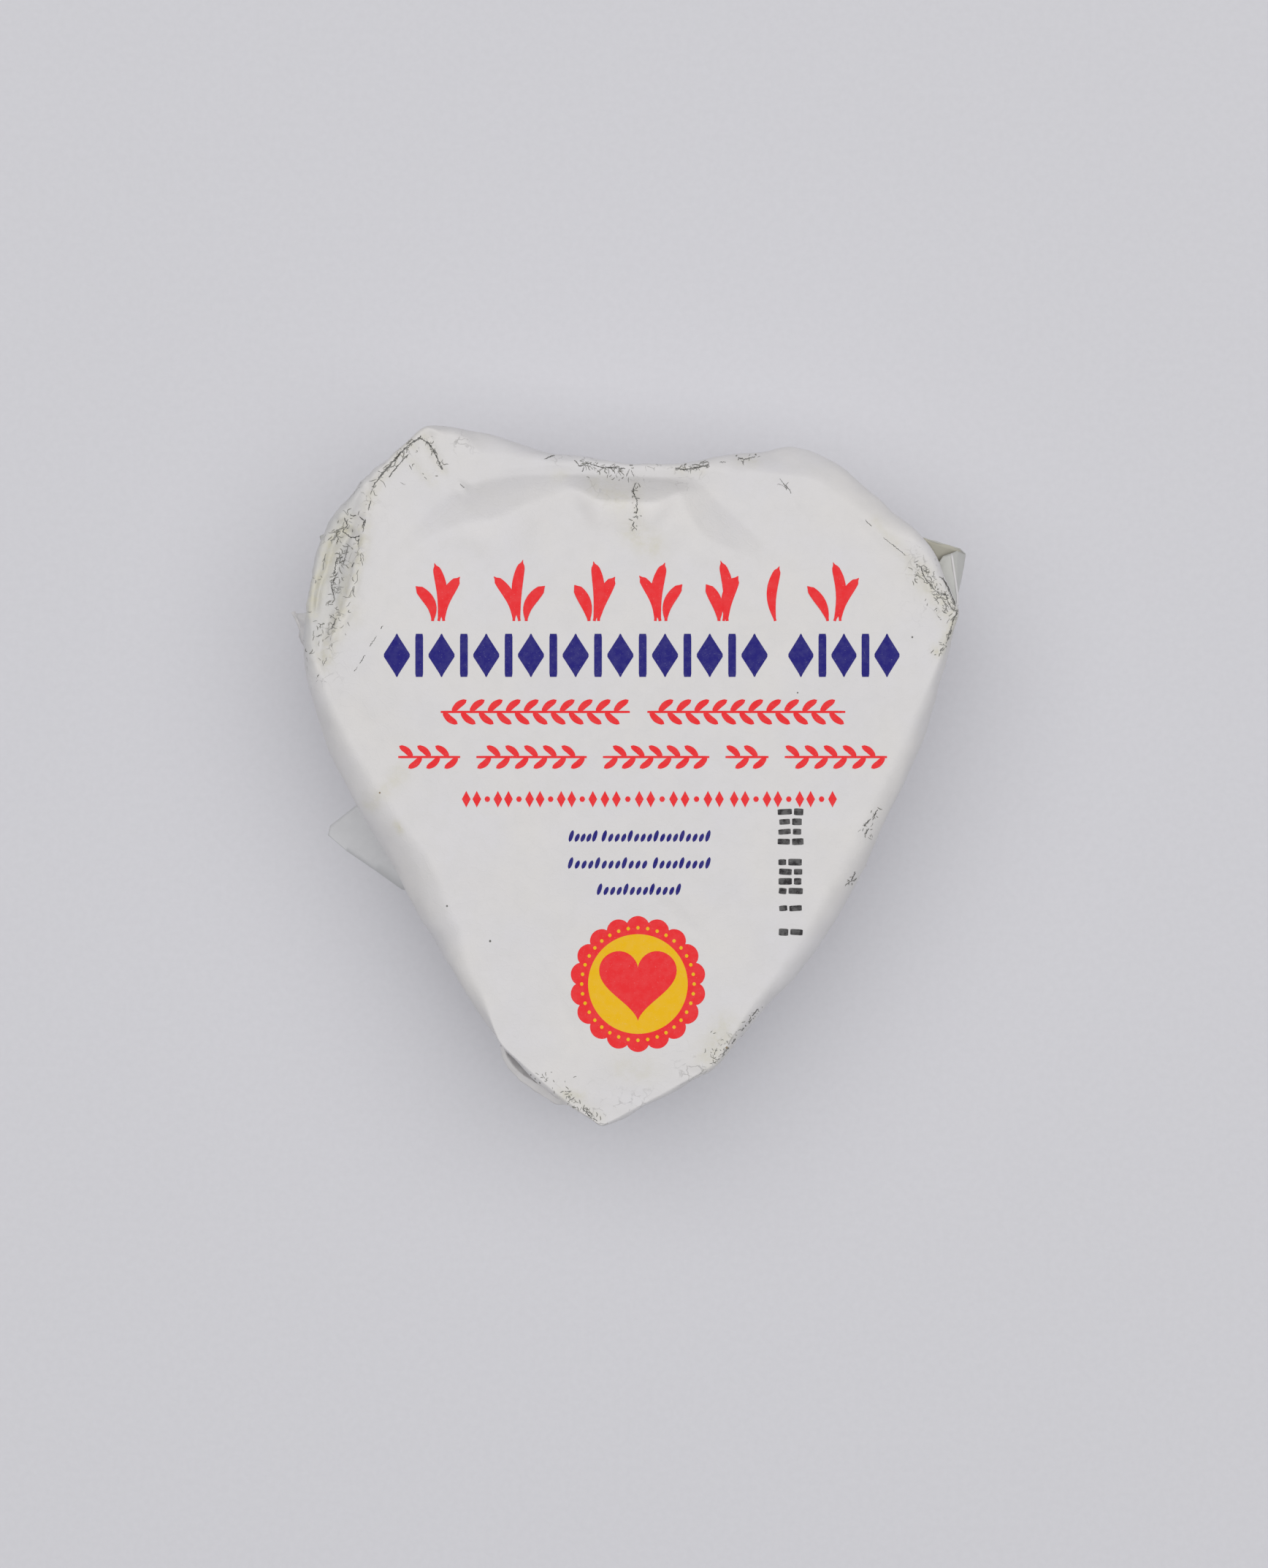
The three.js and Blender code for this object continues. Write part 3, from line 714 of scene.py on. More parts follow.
def pleats(direction, spacing, down, hem):
    """How far the pleats lift the paper and slide it along its edge, in mm, at each row and column.

    direction is each column's, in degrees, spacing is the way from one column to the next, down is how far
    down the wall each row is, and hem is 1 but where the paper turns under.
    """
    count = len(direction)
    grown = smooth(down, PLEAT_START, PLEAT_GROWTH)[:, None]
    lift = np.zeros((len(down), count))
    slide = np.zeros((len(down), count))
    for angle, height, width, lean in PLEATS:
        edge = np.argmin(np.abs((direction - angle + 180.0) % 360.0 - 180.0))
        columns = (np.arange(count) - edge + 0.5 + 0.5 * count) % count - 0.5 * count
        side = math.copysign(1.0, width)
        away = side * columns * spacing
        body = np.clip(1.0 - away / (abs(width) * np.maximum(grown, NARROWEST_PLEAT)), 0.0, 1.0)
        tucked = -PLEAT_TUCK * np.exp(np.minimum(away, 0.0) / TUCK_FADE)
        lift += height * grown * np.where(away > 0.0, body, tucked)
        hang = -side * np.sign(away) * PLEAT_OVERHANG * height * np.exp(-np.abs(away) / OVERHANG_FADE)
        slide += grown * hem[:, None] * hang + lean * down[:, None] * np.exp(-((away / LEAN_FADE) ** 2))
    return lift * hem[:, None], slide


class Wrap:
    """The closed sheet of paper as a grid: rows run from the hub on top to the one below, columns round it.

    The numbers are those of the rows on the top face, its shoulder, the wall and the base underneath.
    """

    top, shoulder, wall, base = 92, 16, 32, 12

    def __init__(self, columns, crumple_depth):
        self.columns = columns
        self.rows = self.top + self.shoulder + self.wall + self.base
        self.shares = np.arange(columns) / columns
        self.rows_down()
        self.top_face()
        shares = self.shares + np.zeros((self.rows + 1, 1))
        lift, slide = pleats(self.direction, self.length / columns, self.down, self.hem)
        even = self.sheet(shares, 0.0)
        folded = self.sheet((shares + slide / self.length) % 1.0, lift)
        self.relief(crumple_depth, even, folded)

    def rows_down(self):
        """What the rows of the shoulder, the wall and the underside have in common all the way round."""
        self.turn = 0.5 * math.pi * np.arange(1, self.shoulder + 1)[:, None] / self.shoulder
        self.left = (1.0 - np.arange(1, self.wall + 1)[:, None] / self.wall) ** WALL_CROWDING
        self.width = (1.0 - np.minimum(1.0, (1.0 - self.left) ** WALL_SQUARENESS)) ** (1.0 / WALL_SQUARENESS)
        shoulder = SHOULDER_SHARE * (1.0 - np.cos(self.turn))
        wall = 1.0 - (1.0 - SHOULDER_SHARE) * self.left
        self.down = np.concatenate([np.zeros(self.top + 1), shoulder[:, 0], wall[:, 0], np.ones(self.base)])
        level = np.zeros(self.top + 1), np.ones(self.shoulder), self.width[:, 0], np.zeros(self.base)
        self.hem = np.concatenate(level)

    def top_face(self):
        """The outline's length and directions, and the height of the top face out to the rim."""
        edge, inset, _ = rounded_outline(self.shares)
        self.length = np.linalg.norm(edge - np.roll(edge, 1, axis=0), axis=1).sum()
        arm = edge - HUB
        self.reach = np.linalg.norm(arm, axis=1)
        self.direction = np.degrees(np.arctan2(arm[:, 1], arm[:, 0]))
        self.fractions = 1.0 - (1.0 - np.arange(self.top + 1)[:, None] / self.top) ** TOP_CROWDING
        radius = (self.reach - inset) * self.fractions
        self.top_z = top_height(HUB + arm / self.reach[:, None] * radius[..., None], radius / self.reach)

    def sheet(self, shares, lift):
        """The points of the sheet, each at its own share of the way round, with the pleats' lift."""
        edge, inset, drop = rounded_outline(shares)
        arm = edge - HUB
        reach = np.linalg.norm(arm, axis=-1)
        rim_z = np.interp(shares, self.shares, self.top_z[-1], period=1.0)
        power = 1.0 + FLATTER * smooth(inset / drop, *FLATTER_FROM)
        radius, height = reach - inset, rim_z.copy()
        bend = self.top + 1
        wall = bend + self.shoulder
        base = wall + self.wall
        radius[:bend] *= self.fractions
        height[:bend] = self.top_z
        radius[bend:wall] += inset[bend:wall] * np.sin(self.turn) ** power[bend:wall]
        height[bend:wall] -= drop[bend:wall] * (1.0 - np.maximum(0.0, np.cos(self.turn)) ** power[bend:wall])
        radius[wall:base] = reach[wall:base] - BASE_INSET * (1.0 - self.width)
        height[wall:base] = UNDERSIDE_RISE + (rim_z - drop - UNDERSIDE_RISE)[wall:base] * self.left
        radius[base:] = (reach[base:] - BASE_INSET) * (1.0 - np.arange(1, self.base + 1)[:, None] / self.base)
        height[base:] = UNDERSIDE_RISE
        plan = HUB + arm / reach[..., None] * (radius + lift)[..., None]
        return np.concatenate([plan, height[..., None]], axis=-1)

    def relief(self, crumple_depth, even, points):
        """Crumples, soft waves and folds, along the normals of the sheet before it was pleated."""
        normal = np.cross(np.gradient(even, axis=0), np.roll(even, -1, axis=1) - np.roll(even, 1, axis=1))
        normal /= np.maximum(np.linalg.norm(normal, axis=-1, keepdims=True), 1e-9)
        normal[0], normal[-1] = (0.0, 0.0, 1.0), (0.0, 0.0, -1.0)
        x, y, z = np.moveaxis(points, -1, 0)
        down, hem = self.down[:, None], self.hem[:, None]
        rows = np.arange(self.rows + 1)[:, None]
        to_rim = np.clip((self.top - rows) / self.top, 0.0, 1.0) ** TOP_CROWDING * self.reach
        near_rim = np.exp(-to_rim / RIM_FADE)
        on_top = 1.0 - smooth((rows - self.top) / (0.6 * self.shoulder))
        underneath = smooth(rows, self.rows - self.base - 3, 4)
        side = (1.0 - on_top) * (1.0 - underneath)
        low = smooth(down, *DEEPER)
        gaps = [np.hypot(x - at_x, y - at_y) / size for at_x, at_y, size in WORN_CORNERS]
        worn = smooth(1.4 - np.min(gaps, axis=0))
        away, share = line_place(points, BAND_LINE)
        band = smooth(share / BAND_ENDS[0]) * smooth((1.0 - share) / BAND_ENDS[1])
        band *= smooth(away, *BAND_ACROSS) * smooth(z, *BAND_UP)
        # The crumples' size in mm, their seed, and how deep they are where.
        crumples = (
            (11.0, 5, side * (0.8 + 1.8 * low)),
            (4.5, 6, side * (0.3 + 1.3 * low)),
            (4.0, 7, 0.35 * near_rim * worn * on_top),
            (2.4, 8, 0.42 * band),
            (1.2, 10, 0.16 * band),
            (7.0, 9, 0.35 * underneath),
        )
        push = TOP_WAVE_DEPTH * wander(points, TOP_WAVE_LENGTH, 3) * on_top
        for size, seed, depth in crumples:
            push += crumple_depth / MM * depth * crumple(points, size, seed)
        dip = DIP_DEPTH * np.exp(-(((x - DIP_X) / DIP_WIDTH) ** 2)) * (y > DIP_SIDE)
        push -= dip * smooth(down * 2.4) * hem * side
        self.points = points + normal * push[..., None]
        self.points[..., 2] = np.clip(self.points[..., 2], 0.0, TOP_Z)
        for pole in (0, -1):
            self.points[pole] = self.points[pole].mean(axis=0)
        stain = np.zeros_like(band)
        for strength, reach, pixels in STAINS:
            gap, _ = line_place(points, [from_pixel(*pixel) for pixel in pixels])
            stain = np.maximum(stain, strength * np.exp(-((gap / reach) ** 2)))
        on_rim = near_rim * (1.0 - 0.88 * smooth(down, *UNCRAZED))
        self.maps = {
            "worn": np.clip(worn * on_rim + band, 0.0, 1.0),
            # Where the band's painted shade goes: a grey over its outer strip, where the wall slopes away.
            "band": band * smooth(away, *BAND_SHADE),
            "stain": stain * (self.points[..., 2] > STAIN_Z),
        }


def finish_piece(bm, name, material):
    """Turns a bmesh in millimetres into a piece of the object, riding on its body."""
    bmesh.ops.scale(bm, vec=(MM, MM, MM), verts=bm.verts)
    mesh = bpy.data.meshes.new(name)
    bm.to_mesh(mesh)
    bm.free()
    mesh.materials.append(material)
    mesh.polygons.foreach_set("use_smooth", [True] * len(mesh.polygons))
    piece = bpy.data.objects.new(name, mesh)
    bpy.context.scene.collection.objects.link(piece)
    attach(piece, BODY)
    return piece


def paper_tree():
    """The finished wrap as a tree that rays can be cast at."""
    bm = bmesh.new()
    bm.from_mesh(bpy.data.objects["paper_wrap"].data)
    tree = BVHTree.FromBMesh(bm)
    bm.free()
    return tree


def on_paper(tree, x, y, lift):
    """The place on the paper that the camera sees at x, y of the top plane, in mm, lifted off it a little."""
    origin = Vector(CAMERA) * MM
    for _ in range(MOST_PULLS):
        place, normal, _, _ = tree.ray_cast(origin, Vector((x, y, TOP_Z)) * MM - origin)
        if place is not None and normal.z > STEEPEST_PRINT:
            return (place + normal * lift * MM) / MM
        x, y = x + (HUB[0] - x) * PULL, y + (HUB[1] - y) * PULL
    raise RuntimeError(f"nothing of the paper is seen near {x:.1f}, {y:.1f}")


def from_pixel(u, v):
    """x and y on the top plane, in mm, of a pixel of the photograph."""
    return (u - ORIGIN_PIXEL[0]) * PIXEL, (ORIGIN_PIXEL[1] - v) * PIXEL


def seen_at(u, v, z):
    """The point at height z, in mm, that a pixel of the photograph shows."""
    x, y = from_pixel(u, v)
    away = (CAMERA[2] - z) / CAMERA_RISE
    return Vector((CAMERA[0] + (x - CAMERA[0]) * away, CAMERA[1] + (y - CAMERA[1]) * away, z))


def all_seen(corners):
    """The points that a list of pixels with their heights shows."""
    return [seen_at(*corner) for corner in corners]


def on_wall(tree, u, v, z, proud):
    """The place on the wall at height z, in mm, towards a pixel as seen from the hub, moved outwards."""
    hub = Vector((*HUB, z))
    arm = (seen_at(u, v, z) - hub).normalized()
    place, _, _, _ = tree.ray_cast((hub + arm * OUTSIDE) * MM, -arm)
    return place / MM + arm * proud


def sheet_piece(name, corners, loops, finish, thickness):
    """A thin sheet of paper from a few corners: its facets are cut up, crumpled and given a thickness."""
    cuts, wobble, low_wobble, grain, seed = CREASING[name]
    bm = bmesh.new()
    verts = [bm.verts.new(corner) for corner in corners]
    for loop in loops:
        bm.faces.new([verts[index] for index in loop])
    bmesh.ops.recalc_face_normals(bm, faces=bm.faces)
    bmesh.ops.triangulate(bm, faces=bm.faces)
    bmesh.ops.subdivide_edges(bm, edges=bm.edges, cuts=cuts, use_grid_fill=True)
    bm.normal_update()
    places = np.array([vert.co for vert in bm.verts])
    depth = wobble + low_wobble * smooth((LOW_TOP - places[:, 2]) / LOW_FADE)
    push = depth * (crumple(places, grain, seed) + 0.6 * wander(places, 0.8 * grain, seed + 1))
    normals = np.array([vert.normal for vert in bm.verts])
    for vert, place in zip(bm.verts, places + normals * push[:, None]):
        vert.co = place
        vert.co.z = max(LOWEST_SHEET, vert.co.z)
    bmesh.ops.solidify(bm, geom=bm.faces, thickness=thickness / MM)
    for vert in bm.verts:
        vert.co.z = max(0.0, vert.co.z)
    bmesh.ops.recalc_face_normals(bm, faces=bm.faces)
    finish_piece(bm, name, finish)


def between_rows(rows, columns):
    """The faces of a net of corners, row after row."""
    starts = [row * columns + column for row in range(rows - 1) for column in range(columns - 1)]
    return [(start, start + 1, start + columns + 1, start + columns) for start in starts]


def walk(line, step):
    """Points every step along a line of points, with the unit vector across it at each."""
    line = np.array(line, float)
    walked = way_along(line)
    count = max(2, math.ceil(walked[-1] / step) + 1)
    points = points_at(np.linspace(0.0, walked[-1], count), walked, line)
    along = np.gradient(points, axis=0)
    along /= np.maximum(np.linalg.norm(along, axis=1, keepdims=True), 1e-9)
    return points, np.stack([-along[:, 1], along[:, 0]], axis=-1)


def lens(share):
    """A shape that is round at both ends."""
    return np.sqrt(np.maximum(0.0, 1.0 - (2.0 * share - 1.0) ** 2))


def diamond(share):
    """A shape with a point at both ends."""
    return 1.0 - np.abs(2.0 * share - 1.0)


def bar(share):
    """A shape with straight sides and slightly worn ends."""
    return np.minimum(1.0, 0.86 + 6.0 * np.minimum(share, 1.0 - share))


def dab(share):
    """A brush's dab: it lands full, swells and runs out to a thin end."""
    swell = 0.35 + 0.75 * np.sin(np.pi * np.clip(share * 1.06, 0, 1)) ** 0.8
    return smooth(share * 9.0) * swell * (1.0 - 0.35 * share)


def spaced(first, last, pitch):
    """Even places from first to last, about a pitch apart, each with its number."""
    return enumerate(np.linspace(first, last, round((last - first) / pitch) + 1))


class Layer:
    """Strips laid on the wrap, a little above it, which together make one piece."""

    def __init__(self, tree, lift):
        self.bm = bmesh.new()
        self.tree = tree
        self.lift = lift

    def grid(self, place, segments, rows, lift):
        """Lays a grid on the paper: place turns its own x and y, from -1 to 1, into x and y in mm."""
        made = bmesh.ops.create_grid(self.bm, x_segments=segments, y_segments=rows, size=1.0)
        for vert in made["verts"]:
            vert.co = on_paper(self.tree, *place(vert.co.x, vert.co.y), self.lift * lift)
        return made["verts"]

    def strip(self, points, across, halves, columns=1, lift=1.0):
        """Lays a strip along points, with its half widths to both sides of them."""
        last = len(points) - 1

        def place(along, aside):
            index = round((along + 1.0) / 2.0 * last)
            return points[index] + across[index] * halves[index] * aside

        self.grid(place, last, columns, lift)

    def stroke(self, line, width, profile, step, columns, lift=1.0):
        """Lays a stroke: profile gives its share of the width at each share of its length."""
        points, across = walk(line, step)
        shares = np.linspace(0.0, 1.0, len(points))
        self.strip(points, across, 0.5 * width * np.maximum(LEAST_WIDTH, profile(shares)), columns, lift)

    def dot(self, x, y, size, step, columns, lift=1.0):
        """Lays a round dot."""
        self.stroke([(x - size / 2, y), (x + size / 2, y)], size, lens, step, columns, lift)

    def disc(self, place, segments, rings, lift=1.0):
        """Lays a disc or ring: place gives x and y in mm at an angle and at a share of the way out."""
        verts = self.grid(lambda turn, out: place(math.pi * turn, (out + 1.0) / 2.0), segments, rings, lift)
        bmesh.ops.remove_doubles(self.bm, verts=verts, dist=1e-4)

    def finish(self, name, material):
        """Turns the strips into a piece whose faces point away from the paper."""
        for face in self.bm.faces:
            face.normal_update()
            if face.normal.z < 0.0:
                face.normal_flip()
        finish_piece(self.bm, name, material)


class Finish:
    """A material made of nodes that read the piece's own coordinates, in metres."""

    def __init__(self, name, roughness, specular=0.5):
        self.material = bpy.data.materials.new(name)
        self.material.use_nodes = True
        self.tree = self.material.node_tree
        self.shader = self.tree.nodes["Principled BSDF"].inputs
        self.shader["Roughness"].default_value = roughness
        self.shader["Specular IOR Level"].default_value = specular
        self.place = self.node("ShaderNodeTexCoord", "Object")

    def feed(self, socket, value):
        """Joins a socket to another one, or gives it a number or a colour."""
        if isinstance(value, bpy.types.NodeSocket):
            self.tree.links.new(value, socket)
        elif socket.type == "RGBA":
            socket.default_value = (*value[:3], 1.0)
        else:
            socket.default_value = value

    def node(self, kind, output, inputs=(), **properties):
        """One output of a new node, whose inputs are given by name or number."""
        node = self.tree.nodes.new(kind)
        for name, value in properties.items():
            setattr(node, name, value)
        for name, value in dict(inputs).items():
            self.feed(node.inputs[name], value)
        return node.outputs[output]

    def noise(self, scale, detail=3.0, roughness=0.55, output="Fac"):
        """A noise of so many cells to the metre."""
        inputs = {"Vector": self.place, "Scale": scale, "Detail": detail, "Roughness": roughness}
        return self.node("ShaderNodeTexNoise", output, inputs)

    def remap(self, source, low, high, to_low=0.0, to_high=1.0):
        """Stretches a value between two limits, and holds it there outside."""
        inputs = {"Value": source, "From Min": low, "From Max": high, "To Min": to_low, "To Max": to_high}
        return self.node("ShaderNodeMapRange", "Result", inputs, clamp=True)

    def times(self, first, second):
        return self.node("ShaderNodeMath", "Value", {0: first, 1: second}, operation="MULTIPLY")

    def mixed(self, factor, first, second, blend="MIX"):
        """One colour mixed into another. Colours are the node's inputs 6 and 7 and its output 2."""
        inputs = {0: factor, 6: first, 7: second}
        return self.node("ShaderNodeMix", 2, inputs, data_type="RGBA", blend_type=blend)

    def upwards(self, vector):
        """The Z part of a vector."""
        return self.node("ShaderNodeSeparateXYZ", "Z", {"Vector": vector})

    def attribute(self, name):
        return self.node("ShaderNodeAttribute", "Fac", attribute_name=name)

    def bumped(self, height, strength, distance, below=None):
        """A bump from a height, over the one below it."""
        inputs = {"Strength": strength, "Distance": distance, "Height": height}
        if below is not None:
            inputs["Normal"] = below
        return self.node("ShaderNodeBump", "Normal", inputs)

    def fibres(self, strength):
        """The fine fibres of paper, as a bump."""
        return self.bumped(self.noise(2600.0, 3.0, 0.7), strength, 0.00004)

    def made(self, colour, normal):
        self.feed(self.shader["Base Color"], colour)
        self.feed(self.shader["Normal"], normal)
        return self.material


def towards(colour, share, target=1.0):
    """A colour moved a share of its way to a grey, or away from it, as plain numbers."""
    return tuple(channel + share * (target - channel) for channel in colour)


def paper_finish(name, settings, painted_shade=None, crazed=False):
    """Thin white paper soaked in wax: mottled, faintly fibrous, and crazed where it has been folded.

    A painted shade darkens loose paper where it looks up, and fades out further down, where it lies on the
    wall.
    """
    matt = settings.paper_roughness
    finish = Finish(name, matt, specular=0.35)
    broad = finish.remap(finish.noise(70.0), 0.35, 0.65)
    colour = finish.mixed(broad, settings.paper_colour, settings.paper_shade)
    mottle = finish.remap(finish.noise(420.0, detail=4.0, roughness=0.6), 0.42, 0.62)
    colour = finish.mixed(finish.times(mottle, 0.35), colour, settings.paper_mottle)
    normal = finish.fibres(0.25)
    if painted_shade is not None:
        # Painted shade, strongest high up on faces that look up.
        loose = finish.remap(finish.upwards(finish.place), *(height * MM for height in PAINTED_SHADE_FADE))
        facing = finish.upwards(finish.node("ShaderNodeTexCoord", "Normal"))
        looking_up = finish.remap(facing, *PAINTED_SHADE_SLOPE)
        colour = finish.mixed(finish.times(loose, looking_up), colour, painted_shade, "MULTIPLY")
    if crazed:
        # Painted shade: the crinkled band's outer strip is greyed where the wall slopes away.
        colour = finish.mixed(finish.times(finish.attribute("band"), 0.40), colour, settings.band_painted_shade)
        patches = finish.remap(finish.noise(700.0, detail=4.0, roughness=0.65), 0.34, 0.62, 0.25, 1.0)
        stained = finish.times(patches, finish.attribute("stain"))
        colour = finish.mixed(stained, colour, settings.stain_colour)
        warp = finish.noise(500.0, roughness=0.5, output="Color")
        inputs = {0: warp, 1: 3 * (WARP_REACH * MM,), 2: finish.place}
        bent = finish.node("ShaderNodeVectorMath", "Vector", inputs, operation="MULTIPLY_ADD")
        cells = {"Vector": bent, "Scale": 620.0}
        craze = finish.node("ShaderNodeTexVoronoi", "Distance", cells, feature="DISTANCE_TO_EDGE")
        edges = finish.remap(craze, 0.0, 0.07, 1.0, 0.0)
        broken = finish.remap(finish.noise(260.0, detail=4.0, roughness=0.7), 0.53, 0.60)
        lines = finish.times(finish.times(edges, broken), finish.attribute("worn"))
        colour = finish.mixed(finish.times(lines, 0.55), colour, settings.crack_colour)
        normal = finish.bumped(edges, 0.20, 0.00006, normal)
    gloss = finish.remap(finish.noise(150.0), 0.35, 0.65, matt - 0.06, matt + 0.08)
    finish.feed(finish.shader["Roughness"], gloss)
    finish.shader["Coat Weight"].default_value = 0.08
    finish.shader["Coat Roughness"].default_value = 0.35
    return finish.made(colour, finish.bumped(finish.noise(330.0, detail=2.0), 0.30, 0.00012, normal))


def ink_finish(name, colour, patchy=0.05):
    """Printing ink on the paper: nearly flat, a little patchy, with pinholes where the wax didn't take it."""
    finish = Finish(name, roughness=0.55, specular=0.15)
    patches = finish.remap(finish.noise(900.0, detail=4.0, roughness=0.65), 0.40, 0.62)
    tone = finish.mixed(finish.times(patches, patchy * 4.0), colour, towards(colour, 0.10))
    pinholes = finish.remap(finish.noise(5200.0, detail=2.0, roughness=0.5), 0.66, 0.74)
    tone = finish.mixed(finish.times(pinholes, 0.3), tone, towards(colour, 0.5, 0.8))
    return finish.made(tone, finish.fibres(0.20))


def slip_finish(name, settings):
    """One layer of waxed paper flat on the table, which shows through it, with the shadow beside the heart
    painted into its colour.
    """
    finish = Finish(name, settings.paper_roughness, specular=0.3)
    mottle = finish.remap(finish.noise(420.0, detail=4.0, roughness=0.6), 0.40, 0.62)
    colour = finish.mixed(mottle, settings.slip_painted_shadow, towards(settings.slip_painted_shadow, -0.035, 0.0))
    return finish.made(colour, finish.fibres(0.20))


def crack_finish(name, colour):
    """Bare dirty paper where the wax has cracked away."""
    finish = Finish(name, roughness=0.85)
    grime = finish.remap(finish.noise(1500.0, detail=3.0, roughness=0.7), 0.35, 0.65)
    tone = finish.mixed(grime, colour, towards(colour, 0.55, 0.4))
    return finish.made(tone, finish.bumped(grime, 0.3, 0.00005))


def floor_finish(name, colour):
    """A pale, matt table top with a very fine grain."""
    finish = Finish(name, roughness=0.75, specular=0.2)
    grain = finish.remap(finish.noise(900.0, detail=4.0, roughness=0.6), 0.35, 0.65)
    tone = finish.mixed(grain, colour, towards(colour, 0.025, 0.0))
    return finish.made(tone, finish.bumped(grain, 0.1, 0.00005))


def colour_property(name, description, default):
    return FloatVectorProperty(
        name=name, description=description, default=default, size=3, min=0.0, max=1.0, subtype="COLOR"
    )


def number_property(name, description, default, low, high, **kind):
    return FloatProperty(name=name, description=description, default=default, min=low, max=high, **kind)


def length_property(*values):
    return number_property(*values, unit="LENGTH")


class PaperSettings(PropertyGroup):
    """The paper's shape and finish."""

    columns: IntProperty(name="Columns", description="Points round the wrap", default=640, min=160, max=660)
    crumple_depth: length_property("Crumple depth", "How deep the side's crumples are", 0.00028, 0.0, 0.001)
    sheet_thickness: length_property("Sheet thickness", "Thickness of loose paper", 0.00012, 0.00005, 0.0005)
    paper_roughness: number_property("Roughness", "How matt the paper is", 0.46, 0.1, 1.0, subtype="FACTOR")
    # Painted shade: a loose single layer is darkened for the shade that shows through the thin sheet.
    single_sheet_painted_shade: colour_property("Single sheet", "What a loose layer keeps of the colour", (0.93, 0.93, 0.93))
    # Painted shade: the right ear and the spurs are darkened to a grey-green, as paper in shade.
    ear_painted_shade: colour_property("Right ear", "What the right ear keeps of the colour", (0.78, 0.80, 0.76))
    # Painted shade: the pocket's inside is darkened and warmed to an olive grey, where it lies in shade.
    pocket_painted_shade: colour_property("Pocket", "What the right ear's inside keeps of it", (0.70, 0.69, 0.58))
    paper_colour: colour_property("Paper", "The paper's main colour", (0.765, 0.748, 0.738))
    paper_shade: colour_property("Paper shade", "The paper where the wax is thicker", (0.750, 0.739, 0.756))
    paper_mottle: colour_property("Paper mottle", "The fine mottling in the wax", (0.715, 0.704, 0.702))
    # The band's colour is painted shade, a grey for the outer strip of the crinkled slope.
    band_painted_shade: colour_property("Crinkled band", "The paper on the crinkled slope", (0.490, 0.500, 0.495))
    stain_colour: colour_property("Stain", "Where handling has marked the paper", (0.655, 0.630, 0.515))
    crack_colour: colour_property("Crack", "Paper that shows in a crack of the wax", (0.060, 0.058, 0.050))
    scuff_colour: colour_property("Scuff", "Fine cracks in rubbed wax", (0.190, 0.186, 0.160))
    # The slip's colour is the table seen through it, darkened by a painted shadow.
    slip_painted_shadow: colour_property("Slip", "One thin layer on the table", (0.670, 0.675, 0.690))


class PrintSettings(PropertyGroup):
    """The colours and the lift of the print."""

    red: colour_property("Red", "The brush dabs, the twigs, the chain and the badge", (0.92, 0.030, 0.036))
    navy: colour_property("Navy", "The border and the rows of seeds", (0.016, 0.013, 0.200))
    black: colour_property("Black", "The upright stamp", (0.028, 0.026, 0.028))
    yellow: colour_property("Yellow", "The badge's field", (0.920, 0.530, 0.008))
    ink_lift: length_property("Ink lift", "How far the ink stands off the paper", 0.00003, 0.00001, 0.0002)


class StageSettings(PropertyGroup):
    """The floor, the light and the surroundings."""

    floor_colour: colour_property("Floor", "The table's colour", (0.72, 0.72, 0.76))
    floor_size: length_property("Floor size", "Side of the square floor", 4.0, 0.5, 10.0)
    lamp_colour: colour_property("Lamp", "The soft lamp's colour", (1.0, 0.985, 0.97))
    lamp_power: number_property("Lamp power", "Power of the soft lamp", 53.5, 0.0, 400.0, unit="POWER")
    lamp_width: length_property("Lamp width", "The soft lamp's side across the heart", 4.4, 0.05, 8.0)
    lamp_depth: length_property("Lamp depth", "The soft lamp's side along the heart", 2.9, 0.05, 8.0)
    lamp_height: length_property("Lamp height", "Height of the lamp over the floor", 2.0, 0.2, 6.0)
    lamp_aside: length_property("Lamp aside", "How far the lamp is moved to the right", 0.05, -3.0, 3.0)
    lamp_shift: length_property("Lamp shift", "How far the lamp is moved towards the notch", 0.3, -3.0, 3.0)
    sky_colour: colour_property("Sky colour", "Colour of the even light all round", (0.94, 0.96, 1.0))
    sky: number_property("Sky", "Strength of the even light all round", 0.23, 0.0, 2.0)


class CHEESE_OT_wrap(Operator):
    """Models the closed sheet of paper round the cheese"""

    bl_idname = "cheese.wrap"
    bl_label = "Paper wrap"

    def execute(self, context):
        settings = context.scene.cheese_paper
        wrap = Wrap(settings.columns, settings.crumple_depth)
        bm = bmesh.new()
        bmesh.ops.create_uvsphere(bm, u_segments=wrap.columns, v_segments=wrap.rows, radius=1.0)
        layers = [(bm.verts.layers.float.new(name), values) for name, values in wrap.maps.items()]
        for vert in bm.verts:
            row = round(math.acos(max(-1.0, min(1.0, vert.co.z))) / math.pi * wrap.rows)
            column = round(math.atan2(vert.co.y, vert.co.x) / (2.0 * math.pi) * wrap.columns) % wrap.columns
            vert.co = wrap.points[row, column]
            for layer, values in layers:
                vert[layer] = values[row, column]
        for edge in bm.edges:
            low = max(vert.co.z for vert in edge.verts) < TOP_Z - CREASE_DROP
            edge.smooth = not (low and edge.calc_face_angle(0.0) > CREASE_ANGLE)
        piece = finish_piece(bm, "paper_wrap", paper_finish("waxed_paper_wrap", settings, crazed=True))
        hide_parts(NODE)
        return {"FINISHED"}


